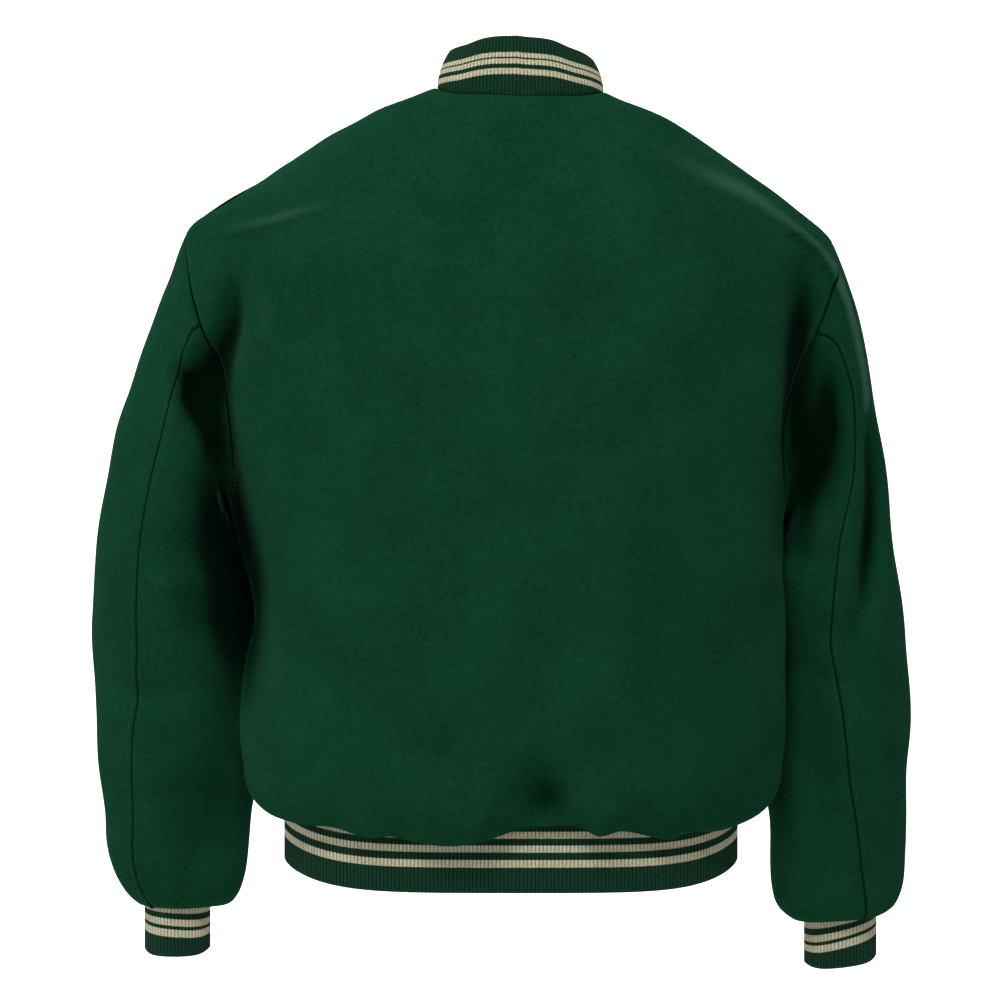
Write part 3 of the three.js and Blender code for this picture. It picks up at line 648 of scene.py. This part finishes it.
def sleeve_rings(side):
    """The sleeve's rings with the last one, which lies round the cuff"""
    cuff, rings = CUFFS[side], SLEEVES[side]
    ending = {
        "out_x": cuff["x"] + cuff["width"] + CLEAR, "out_down": cuff["top"] + 8 - cuff["slope"] * cuff["width"],
        "in_x": cuff["x"] - cuff["width"] - CLEAR, "in_down": cuff["top"] + 8 + cuff["slope"] * cuff["width"],
        "depth": cuff["depth"] + CLEAR, "y": cuff["y"],
    }
    whole = {name: np.append(rings[name], ending[name]) for name in rings}
    whole["ring"] = np.arange(LAST_RING + 1, dtype=float)
    return whole


def turn_at(step, ring, side):
    """Turn 0 is the outside and a quarter turn the back. One column follows the back seam."""
    seam = np.radians(smooth(BACK_SEAM, "ring", side, ring))
    first = 2 * math.pi * BACK_SEAM_STEP / TURN_STEPS
    turn = 2 * math.pi * np.mod(step, TURN_STEPS) / TURN_STEPS
    share = np.where(turn < first, turn / first, (2 * math.pi - turn) / (2 * math.pi - first))
    return turn + (seam - first) * np.maximum(0, 1 - (1 - share) * 3)


def sleeve_oval(side, rings, turn, ring):
    read = lambda name: smooth(rings, "ring", name, ring)
    level = (1 - np.cos(turn)) / 2
    x = (1 if side == "left" else -1) * mix(read("out_x"), read("in_x"), level)
    z = -mix(read("out_down"), read("in_down"), level)
    return np.stack([x, read("y") + read("depth") * np.sin(turn), z], -1)


def plain_sleeve(side, turn, ring):
    """Points of the sleeve before its creases, from the armhole's own line to the cuff"""
    rings = sleeve_rings(side)
    loop, normals = armhole_line(turn, side)
    middle = (armhole_line(np.zeros(1), side)[0] + armhole_line(np.full(1, math.pi), side)[0]) / 2
    towards = middle - loop
    towards = unit(towards - normals * (towards * normals).sum(-1, keepdims=True))
    fade = np.maximum(0, 1 - ring / 6)[..., None] ** 2
    gap = ARMHOLE_GAP * np.maximum(0, 1 - ring / 1.5)[..., None] ** 2
    away = loop - sleeve_oval(side, rings, turn, 0 * ring)
    return sleeve_oval(side, rings, turn, ring) + away * fade + towards * gap


def sleeve_points(side, from_step, to_step, count, width):
    mirror = 1 if side == "left" else -1
    rings = sleeve_rings(side)
    ring = np.concatenate([[0, 0.03, 0.07, 0.14, 0.22], np.linspace(0.34, LAST_RING, 122)])[:, None]
    share = across(np.array([width]), count)
    step = mix(from_step, to_step, share)
    gap = SEAM_GAP / 2 / smooth(rings, "ring", "depth", ring)
    turn = turn_at(step, ring, side) + gap * (1 - 2 * share)
    ring = np.broadcast_to(ring, turn.shape)

    around = plain_sleeve(side, turn + 0.01, ring) - plain_sleeve(side, turn - 0.01, ring)
    ahead = plain_sleeve(side, turn, np.minimum(ring + 0.1, LAST_RING))
    along = ahead - plain_sleeve(side, turn, np.maximum(ring - 0.1, 0))
    normals = unit(np.cross(along, around)) * mirror
    points = plain_sleeve(side, turn, ring)
    folds = SLEEVE_FOLDS[side]
    depth = np.zeros(turn.shape)
    for i in range(len(folds["ring"])):
        aside = (np.degrees(np.mod(turn, 2 * math.pi)) - folds["turn"][i]) / folds["turn_spread"][i]
        up = (ring - folds["ring"][i] - folds["slant"][i] * aside) / folds["ring_spread"][i]
        depth += folds["depth"][i] * np.exp(-aside * aside - up * up)
    own = 1 - np.maximum(0, 1 - ring / 6) ** 2
    ending = 1 - step_up(ring, LAST_RING - 1.5, LAST_RING)
    moved, folds = creased(points, normals, own * ending)
    return moved - normals * depth[..., None], folds * ending + depth


# Knitted bands

POINTS_A_WALE = 8


def along_line(line, share):
    """Points at shares of the length of a line of points"""
    lengths = arc_lengths(line, 0)
    at = share * lengths[-1]
    return np.stack([np.interp(at, lengths, line[:, i]) for i in range(line.shape[1])], -1)


def band_profile(height, steps):
    """Round a folded band, from the top of its outside: height above the lower edge, way in, and rib share"""
    radius = RIB_WALL / 2
    outside = [(level, 0.0, 1.0) for level in np.linspace(height, radius + 1.2, steps)]
    turns = np.linspace(0, math.pi, 7)
    fold = [(radius * (1 - math.sin(turn)), radius * (1 - math.cos(turn)), 0.55) for turn in turns]
    inside = [(level, RIB_WALL, 0.3) for level in np.linspace(radius + 1.2, height, 5)]
    return np.array(outside + fold + inside)


def knit_band(name, place, wales, profile, ring, turned_up=False, fit=lambda share: 1 + 0 * share):
    """A ribbed band: place gives points for a share of the way round, a height and a way in.
    Its wales are round ridges with narrow valleys, and the band's section closes on itself.
    fit is how much of the knit's height shows at each share."""
    count = POINTS_A_WALE * wales
    share = np.arange(count + (0 if ring else 1)) / count
    phase = share * wales
    valley = 1 - np.sqrt(np.abs(np.cos(math.pi * phase)))
    rows = [place(share, level, inward + rise * WALE_RISE * valley) for level, inward, rise in profile]
    points = np.stack(rows + rows[:1], 0)
    across_uv = np.append(phase, wales) if ring else phase
    shown = fit(np.append(share, 1.0) if ring else share)
    levels = np.append(profile[:, 0], profile[0, 0])
    uvs = np.stack([np.stack([across_uv, level * shown], -1) for level in levels], 0)
    mesh = grid_mesh(name, points, uvs * (1, MM), mirror=-1 if turned_up else 1, ring=ring)
    band = new_object(name + "_knit", mesh)
    choose(band)
    bpy.ops.object.mode_set(mode="EDIT")
    bpy.ops.mesh.select_all(action="SELECT")
    bpy.ops.mesh.remove_doubles(threshold=0.00001)
    if not ring:
        bpy.ops.mesh.select_all(action="DESELECT")
        bpy.ops.mesh.select_non_manifold()
        bpy.ops.mesh.edge_face_add()
        bpy.ops.mesh.select_all(action="SELECT")
    bpy.ops.mesh.normals_make_consistent(inside=False)
    bpy.ops.object.mode_set(mode="OBJECT")
    soften(band, 75)
    return band, points


def waist_line():
    turn = np.linspace(-math.pi / 2 + 0.0006, 1.5 * math.pi - 0.0006, 1441)
    c, s = np.cos(turn), np.sin(turn)
    wide, deep = np.where(c > 0, WAIST["left"], WAIST["right"]), np.where(s > 0, WAIST["back"], WAIST["front"])
    return np.stack([power(c, 2 / WAIST_SQUARENESS) * wide, power(s, 2 / WAIST_SQUARENESS) * deep], -1)


def waistband():
    line = waist_line()
    height = WAIST["bottom"] - WAIST["top"]

    def place(share, level, inward):
        at = along_line(line, share)
        ahead, behind = along_line(line, np.minimum(share + 0.003, 1)), along_line(line, np.maximum(share - 0.003, 0))
        out = unit(np.stack([ahead[:, 1] - behind[:, 1], behind[:, 0] - ahead[:, 0]], -1))
        at = at - out * inward[:, None]
        side = np.abs(at[:, 0]) / np.where(at[:, 0] > 0, WAIST["left"], WAIST["right"])
        return np.column_stack([at, level - WAIST["bottom"] + BAND_SIDE_RISE * side**6])

    wales = round(arc_lengths(line, 0)[-1] / WALE_PITCH)
    return knit_band("waistband", place, wales, band_profile(height, 12), ring=False)


# The stripes half way up a cuff rise outwards more than its ends
STRIPE_SLOPES = {"left": 0.09, "right": 0.16}


def cuff(side):
    mirror = 1 if side == "left" else -1
    size = CUFFS[side]

    def place(share, level, inward):
        turn = 2 * math.pi * share
        x = (size["width"] - inward) * np.cos(turn)
        y = size["y"] + (size["depth"] - inward) * np.sin(turn)
        rise = CUFF_SIDE_RISE * (1 - level / size["height"]) * np.abs(np.cos(turn)) ** 6
        part = level / size["height"]
        slope = size["slope"] + 4 * STRIPE_SLOPES[side] * part * (1 - part)
        down = size["top"] + size["height"] - level - slope * x - rise
        return np.stack([mirror * (size["x"] + x), y, -down], -1)

    wales = round(math.pi * (size["width"] + size["depth"]) / WALE_PITCH)
    return knit_band("cuff_" + side, place, wales, band_profile(size["height"], 10), True, mirror < 0)


def collar(neck_line, neck_normals):
    """The collar stands on the panels' own neck line, from the left front round the back to the right"""
    tallest = COLLAR_RISE["height"][0]

    def place(share, level, inward):
        seam, face = along_line(neck_line, share), unit(along_line(neck_normals, share))
        out = unit(seam * (1, 1.2, 0))
        round_share = np.abs(2 * share - 1)
        height = smooth(COLLAR_RISE, "share", "height", round_share)
        up = 1 - level / tallest
        points = seam - 0.25 * out
        points[:, 2] += SEAM_GAP + np.where(up < 0, tallest, height) * up
        points -= out * (smooth(COLLAR_RISE, "share", "lean", round_share) * max(up, 0) ** 2)[:, None]
        turn = unit(mix(out, face, np.maximum(0, 0.5 - 4 * up)))
        return points - turn * (inward + WALE_RISE)[:, None]

    wales = round(arc_lengths(neck_line, 0)[-1] / WALE_PITCH)
    sewn_in = [(tallest + 6, RIB_WALL + 1.0, 0.0), (tallest + 6, RIB_WALL + 0.2, 0.0), (tallest, RIB_WALL + 0.2, 0.0)]
    profile = np.concatenate([band_profile(tallest, 14)[:-1], [(tallest, RIB_WALL + 1.0, 0.0)], sewn_in])
    fit = lambda share: (smooth(COLLAR_RISE, "share", "height", np.abs(2 * share - 1)) / tallest) ** 0.75
    return knit_band("collar", place, wales, profile, ring=False, fit=fit)


# Materials

class Wire:
    """A socket of a material's nodes, with plain arithmetic between sockets and numbers"""

    def __init__(self, tree, socket):
        self.tree, self.socket = tree, socket

    def node(self, kind, settings, inputs, output=0):
        """Any other node: its type, settings and inputs by name or number"""
        node = self.tree.nodes.new(kind)
        for setting, value in settings.items():
            setattr(node, setting, value)
        for name, value in inputs.items():
            if isinstance(value, Wire):
                self.tree.links.new(value.socket, node.inputs[name])
            else:
                node.inputs[name].default_value = value
        return Wire(self.tree, node.outputs[output])

    def maths(self, operation, *values):
        return self.node("ShaderNodeMath", {"operation": operation}, dict(enumerate(values)))

    def __add__(self, other):
        return self.maths("ADD", self, other)

    __radd__ = __add__

    def __sub__(self, other):
        return self.maths("SUBTRACT", self, other)

    def __rsub__(self, other):
        return self.maths("SUBTRACT", other, self)

    def __mul__(self, other):
        return self.maths("MULTIPLY", self, other)

    __rmul__ = __mul__

    def __truediv__(self, other):
        return self.maths("DIVIDE", self, other)

    def ramp(self, low, high):
        """0 below low, 1 above high and a smooth rise between"""
        return self.node("ShaderNodeMapRange", {"interpolation_type": "SMOOTHSTEP"},
                         {"Value": self, "From Min": low, "From Max": high})

    def noise(self, scale, detail, roughness=0.5):
        return self.node("ShaderNodeTexNoise", {},
                         {"Vector": self, "Scale": scale, "Detail": detail, "Roughness": roughness})

    def stretched(self, x, y, z):
        return self.node("ShaderNodeVectorMath", {"operation": "MULTIPLY"}, {0: self, 1: (x, y, z)})

    def colours(self, first, second):
        """A colour between two, by this wire"""
        return self.node("ShaderNodeMix", {"data_type": "RGBA"}, {0: self, 6: first, 7: second}, output=2)


def start_material(name):
    material = bpy.data.materials.new(name)
    material.use_nodes = True
    tree = material.node_tree
    shader = tree.nodes["Principled BSDF"]
    coordinates = tree.nodes.new("ShaderNodeTexCoord")
    return material, shader, Wire(tree, coordinates.outputs["Object"]), Wire(tree, coordinates.outputs["UV"])


def feed(shader, name, value):
    if isinstance(value, Wire):
        value.tree.links.new(value.socket, shader.inputs[name])
    else:
        shader.inputs[name].default_value = value


def bumped(height, distance, under=None):
    inputs = {"Height": height, "Distance": distance}
    if under is not None:
        inputs["Normal"] = under
    return height.node("ShaderNodeBump", {}, inputs)


WOOL_DARK = (0.0026, 0.0270, 0.0118, 1)
WOOL_LIGHT = (0.0062, 0.0520, 0.0235, 1)
WOOL_FLECK = (0.030, 0.120, 0.070, 1)
WOOL_PAINTED_SEAM_SHADE = (0.0016, 0.0150, 0.0068, 1)
WOOL_SHADE = (0.0003, 0.0022, 0.0008, 1)
WOOL_PAINTED_RIDGE_HIGHLIGHT = (0.0400, 0.1150, 0.0780, 1)


def wool_material():
    """Melton: fulled wool with short fibres lying every way, a soft bloom and a few pale fibres. Shade is painted
    into its colour along the seams and in deep creases, and a highlight on the ridges.
    """
    material, shader, place, cloth = start_material("wool")
    fibres = place.noise(900, 3, 0.65)
    tufts = place.noise(260, 4, 0.6)
    clouds = place.noise(16, 4, 0.55)
    tone = clouds.ramp(0.3, 0.7) * 0.3 + tufts.ramp(0.32, 0.68) * 0.4 + fibres.ramp(0.32, 0.68) * 0.3
    colour = tone.colours(WOOL_DARK, WOOL_LIGHT)
    pale = place.stretched(1.0, 1.0, 0.6).noise(1400, 1, 0.4).ramp(0.70, 0.80)
    # Painted shade: the wool's colour darkens within 1.5 mm of a sewn edge, where the seam tucks in
    from_seam = cloth.node("ShaderNodeSeparateXYZ", {}, {0: cloth})
    clear_of_seam_shade = from_seam.ramp(0.0001, 0.0015)
    colour = (pale * 0.4).colours(colour, WOOL_FLECK)
    fold = place.node("ShaderNodeAttribute", {"attribute_name": "Fold"}, {})
    fold = Wire(fold.tree, fold.socket.node.outputs["Fac"])
    # Painted shade: the colour darkens towards near black in deep creases
    colour = (fold.ramp(7, 34) * 0.93).colours(colour, WOOL_SHADE)
    # Painted highlight: the colour lightens to a pale green along the ridges
    colour = ((0 - fold).ramp(1.5, 8) * 0.55).colours(colour, WOOL_PAINTED_RIDGE_HIGHLIGHT)
    feed(shader, "Base Color", clear_of_seam_shade.colours(WOOL_PAINTED_SEAM_SHADE, colour))
    feed(shader, "Roughness", 0.95)
    feed(shader, "Sheen Weight", 0.04)
    feed(shader, "Sheen Roughness", 0.5)
    feed(shader, "Sheen Tint", (0.25, 0.75, 0.5, 1))
    feed(shader, "Specular IOR Level", 0.0)
    felt = bumped(tufts + fibres * 0.6, 0.0006)
    feed(shader, "Normal", felt)
    return material


RIB_GREEN = (0.0100, 0.0590, 0.0295, 1)
RIB_GREEN_PAINTED_SHADE = (0.0025, 0.0150, 0.0072, 1)
RIB_CREAM = (0.82, 0.775, 0.545, 1)
RIB_CREAM_PAINTED_SHADE = (0.24, 0.22, 0.14, 1)

# Stripes: height of the lower and upper edges above the band's folded edge, or below the collar's
STRIPES = {
    "waistband": ((20.5, 26.5), (32.5, 38.0), (43.5, 49.0)),
    "cuff": ((16.7, 23.0), (26.0, 31.7), (36.7, 42.0)),
    "collar": ((14.0, 18.0), (19.4, 23.6), (27.4, 32.2)),
}


def rib_material(name, stripes):
    """Rib knit: its columns are in the mesh, and the V of each loop and the striped yarn are here, with shade painted
    into the valleys between wales and between loops
    """
    material, shader, place, cloth = start_material(name)
    split = cloth.node("ShaderNodeSeparateXYZ", {}, {0: cloth})
    wale = split
    level = Wire(split.tree, split.socket.node.outputs[1]) * 1000
    beside = wale.maths("PINGPONG", wale, 0.5)
    loops = level / 1.15 + beside * 1.1
    loop = loops.maths("PINGPONG", loops, 0.5) * 2
    fuzz = place.noise(700, 3, 0.6)
    toothed = level + beside * 1.2 + fuzz * 0.5 - 0.55
    yarn = None
    for low, high in stripes:
        band = toothed.ramp(low - 0.15, low + 0.15) * (1 - toothed.ramp(high - 0.15, high + 0.15))
        yarn = band if yarn is None else yarn + band
    # Painted shade: the colour darkens in the valleys between wales and between loops, and the fuzz gives a random
    # tone
    valley = beside.ramp(0.22, 0.5)
    tone_and_painted_shade = (0.55 + 0.45 * fuzz.ramp(0.3, 0.7)) * (1 - 0.7 * valley) * (0.75 + 0.25 * loop)
    green = tone_and_painted_shade.colours(RIB_GREEN_PAINTED_SHADE, RIB_GREEN)
    cream = tone_and_painted_shade.colours(RIB_CREAM_PAINTED_SHADE, RIB_CREAM)
    feed(shader, "Base Color", yarn.colours(green, cream))
    feed(shader, "Roughness", 0.85)
    feed(shader, "Sheen Weight", 0.03)
    feed(shader, "Sheen Roughness", 0.5)
    feed(shader, "Specular IOR Level", 0.03)
    feed(shader, "Normal", bumped(loop + fuzz * 0.5, 0.0005))
    return material


def thread_material():
    material, shader, place, cloth = start_material("thread")
    twist = place.noise(2500, 1, 0.5)
    feed(shader, "Base Color", twist.colours((0.004, 0.032, 0.015, 1), (0.010, 0.062, 0.032, 1)))
    feed(shader, "Roughness", 0.7)
    feed(shader, "Specular IOR Level", 0.2)
    return material


def snap_material():
    material, shader, place, cloth = start_material("snap_metal")
    wear = place.noise(420, 3, 0.6)
    feed(shader, "Base Color", (0.63, 0.64, 0.66, 1))
    feed(shader, "Metallic", 1.0)
    feed(shader, "Roughness", wear.ramp(0.3, 0.7) * 0.12 + 0.2)
    return material


wool = wool_material()
thread = thread_material()
metal = snap_material()
ribs = {name: rib_material("rib_" + name, stripes) for name, stripes in STRIPES.items()}


# Sewing and snaps

STITCH_PITCH = 3.6
STITCH_LENGTH = 3.0
STITCH_WIDTH = 0.55


def stitched_line(points, distance, edge, rows=slice(None)):
    """Points at a distance over the cloth from a panel's first or last column"""
    chosen = points[rows] if edge == "first" else points[rows, ::-1]
    over = arc_lengths(chosen, 1)
    return np.stack([[np.interp(distance, over[k], chosen[k, :, i]) for i in range(3)]
                     for k in range(len(chosen))])


def stitch_row(name, path):
    """One row of sewing: a rounded stitch, repeated and bent along a path over the cloth"""
    total = arc_lengths(path, 0)[-1]
    even = along_line(path, np.linspace(0, 1, max(int(total / 8), 4)))
    line = bpy.data.curves.new(name + "_path", "CURVE")
    line.dimensions = "3D"
    spline = line.splines.new("POLY")
    spline.points.add(len(even) - 1)
    for point, at in zip(spline.points, even * MM):
        point.co = (*at, 1)
    guide = new_object(name + "_path", line)
    bpy.ops.object.select_all(action="DESELECT")
    bpy.ops.mesh.primitive_uv_sphere_add(segments=8, ring_count=6, radius=0.5)
    row = bpy.context.active_object
    row.name = name
    row.scale = (STITCH_LENGTH * MM, STITCH_WIDTH * MM, STITCH_WIDTH * MM)
    bpy.ops.object.transform_apply(location=True, rotation=True, scale=True)
    apply_modifier(row, "repeat", "ARRAY", count=int(total / STITCH_PITCH), use_relative_offset=False,
                   use_constant_offset=True, constant_offset_displace=(STITCH_PITCH * MM, 0, 0))
    apply_modifier(row, "along", "CURVE", object=guide)
    bpy.data.objects.remove(guide)
    soften(row, 60)
    row.data.materials.append(thread)
    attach(row, "root")


def snap(number, at, out):
    """A snap's cap: a domed disc with a rolled rim and a small ring round its middle"""
    turned = out.to_track_quat("Z", "Y").to_euler()
    bpy.ops.object.select_all(action="DESELECT")
    bpy.ops.mesh.primitive_uv_sphere_add(segments=40, ring_count=16, radius=0.0062, location=at, rotation=turned)
    dome = bpy.context.active_object
    dome.scale = (1, 1, 0.34)
    bpy.ops.mesh.primitive_torus_add(location=at + out * 0.0006, rotation=turned, major_segments=40,
                                     minor_segments=10, major_radius=0.0063, minor_radius=0.0006)
    rim = bpy.context.active_object
    bpy.ops.mesh.primitive_torus_add(location=at + out * 0.0018, rotation=turned, major_segments=32,
                                     minor_segments=8, major_radius=0.0034, minor_radius=0.00035)
    ring = bpy.context.active_object
    for part in (dome, rim, ring):
        part.select_set(True)
    bpy.context.view_layer.objects.active = dome
    bpy.ops.object.join()
    bpy.ops.object.transform_apply(location=True, rotation=True, scale=True)
    dome.name = f"snap_cap_{number}"
    soften(dome, 40)
    dome.data.materials.append(metal)
    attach(dome, "root")
    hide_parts(f"snap_{number}")


# The jacket

back = wool_panel("back", *back_points(), ("first", "last", "top"), ["front_left_cloth", "front_right_cloth"])
front_left = wool_panel("front_left", *front_left_points(), ("first", "top"), ["back_cloth"])
front_right = wool_panel("front_right", *front_right_points(), ("first", "top"), ["back_cloth"])
for side in ("left", "right"):
    mirror = 1 if side == "left" else -1
    under = sleeve_points(side, BACK_SEAM_STEP, UNDER_SEAM_STEP, 34, 155)
    top = sleeve_points(side, UNDER_SEAM_STEP, BACK_SEAM_STEP + TURN_STEPS, 56, 265)
    under = wool_panel(f"sleeve_{side}_under", *under, ("first", "last", "top"), ["back_cloth"], mirror)
    top = wool_panel(f"sleeve_{side}_top", *top, ("first", "last", "top"), ["back_cloth"], mirror)
    stitch_row(f"stitches_{side}_sleeve", stitched_line(top, 4.0, "last", slice(4, -6)))
    edge = "first" if side == "left" else "last"
    stitch_row(f"stitches_{side}_armhole_back", stitched_line(back, 4.0, edge, ARMHOLE_ROWS))
    front = front_left if side == "left" else front_right
    stitch_row(f"stitches_{side}_armhole_front", stitched_line(front, 4.0, "first", ARMHOLE_ROWS))
stitch_row("stitches_front_edge", stitched_line(front_left, 5.0, "last", slice(2, -4)))


def neck_line(inward):
    """The line that the collar is sewn to, from the middle of the front round the back"""
    left_start, left_end = side_edge("left", -1)[0], side_edge("left", 1)[0]
    right_start, right_end = side_edge("right", 1)[0], side_edge("right", -1)[0]
    row = (NECK_ROW, 0.0)
    left = torso(np.linspace(front_angle(0.0, *row), left_start, 80), *row, inward)
    behind = torso(np.linspace(left_end, right_start, 160), *row, inward)
    right = torso(np.linspace(right_end - 2 * math.pi, front_angle(LAP["x"][0], *row), 60), *row, inward)
    steps = np.linspace(LAP["x"][0], 0, 20)[1:]
    lap = [torso(front_angle(x, *row), *row, inward + LAP_STEP * smooth(LAP, "x", "share", x)) for x in steps]
    return np.concatenate([left, behind, right, np.stack(lap)])


neck = neck_line(0.0)
neck_normals = unit(neck - neck_line(WOOL_WALL))
neck[0, 0] += COLLAR_PARTING
neck[-1, 0] -= COLLAR_PARTING

bands = {"collar": collar(neck, neck_normals), "waistband": waistband()}
bands.update({"cuff_" + side: cuff(side) for side in ("left", "right")})
for name, (band, points) in bands.items():
    kind = "cuff" if name.startswith("cuff") else name
    band.data.materials.append(ribs[kind])
    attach(band, "root")
    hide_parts(name)
    middle = points[3, ::POINTS_A_WALE]
    around = arc_lengths(middle, 0)[-1]
    tall = points[0, 0, 2] - points[:, 0, 2].min() if kind != "collar" else COLLAR_RISE["height"][0]
    rests_on = ["back_cloth"] if kind != "cuff" else [name.replace("cuff", "sleeve") + "_top_cloth"]
    round(tall * MM, 3)

for number in range(1, SNAP_COUNT + 1):
    down = SNAP_FIRST + SNAP_PITCH * (number - 1)
    fade = (NECK_FADE - NECK_ROW) / (NECK_FADE - NECK_ROW - NECK_DROP_FRONT)
    row = NECK_FADE - (NECK_FADE - down) * fade if down < NECK_FADE else down
    angle = front_angle(0.0, row, 0.0)
    out = Vector(torso_normal(angle, np.float64(row), np.float64(0)))
    snap(number, Vector(torso(angle, row, 0.0) * MM) + out * 0.0003, out)


# Room and light

def floor():
    bpy.ops.object.select_all(action="DESELECT")
    bpy.ops.mesh.primitive_plane_add(size=14, location=(0, 0, -1.5))
    plane = bpy.context.active_object
    plane.name = "floor"
    material, shader, place, cloth = start_material("floor")
    feed(shader, "Base Color", (0.86, 0.86, 0.86, 1))
    feed(shader, "Roughness", 0.9)
    plane.data.materials.append(material)


def backdrop():
    """A wall lit to white, far behind the jacket"""
    bpy.ops.object.select_all(action="DESELECT")
    bpy.ops.mesh.primitive_plane_add(size=9, location=(0, -3.7, 0), rotation=(math.radians(90), 0, 0))
    plane = bpy.context.active_object
    plane.name = "backdrop"
    material, shader, place, cloth = start_material("backdrop")
    feed(shader, "Base Color", (0.8, 0.8, 0.8, 1))
    feed(shader, "Emission Color", (1, 1, 1, 1))
    feed(shader, "Emission Strength", 1.0)
    plane.data.materials.append(material)


def soft_light(name, at, size, power):
    lamp = bpy.data.lights.new(name, "AREA")
    lamp.shape = "DISK"
    lamp.size = size
    lamp.energy = power
    piece = bpy.data.objects.new(name, lamp)
    bpy.context.scene.collection.objects.link(piece)
    piece.location = at
    piece.rotation_euler = (Vector(at) - Vector((0, 0, -0.33))).to_track_quat("Z", "Y").to_euler()


def white_room(strength):
    world = bpy.data.worlds.new("white")
    world.use_nodes = True
    world.node_tree.nodes["Background"].inputs["Color"].default_value = (1, 1, 1, 1)
    world.node_tree.nodes["Background"].inputs["Strength"].default_value = strength
    bpy.context.scene.world = world


floor()
backdrop()
white_room(0.32)
soft_light("key", (0.25, 2.4, 2.8), 1.4, 118)
soft_light("side", (2.9, 0.9, 0.5), 1.2, 26)
soft_light("front_key", (1.4, -2.6, 1.0), 1.8, 36)
bpy.context.scene.view_settings.view_transform = "Standard"
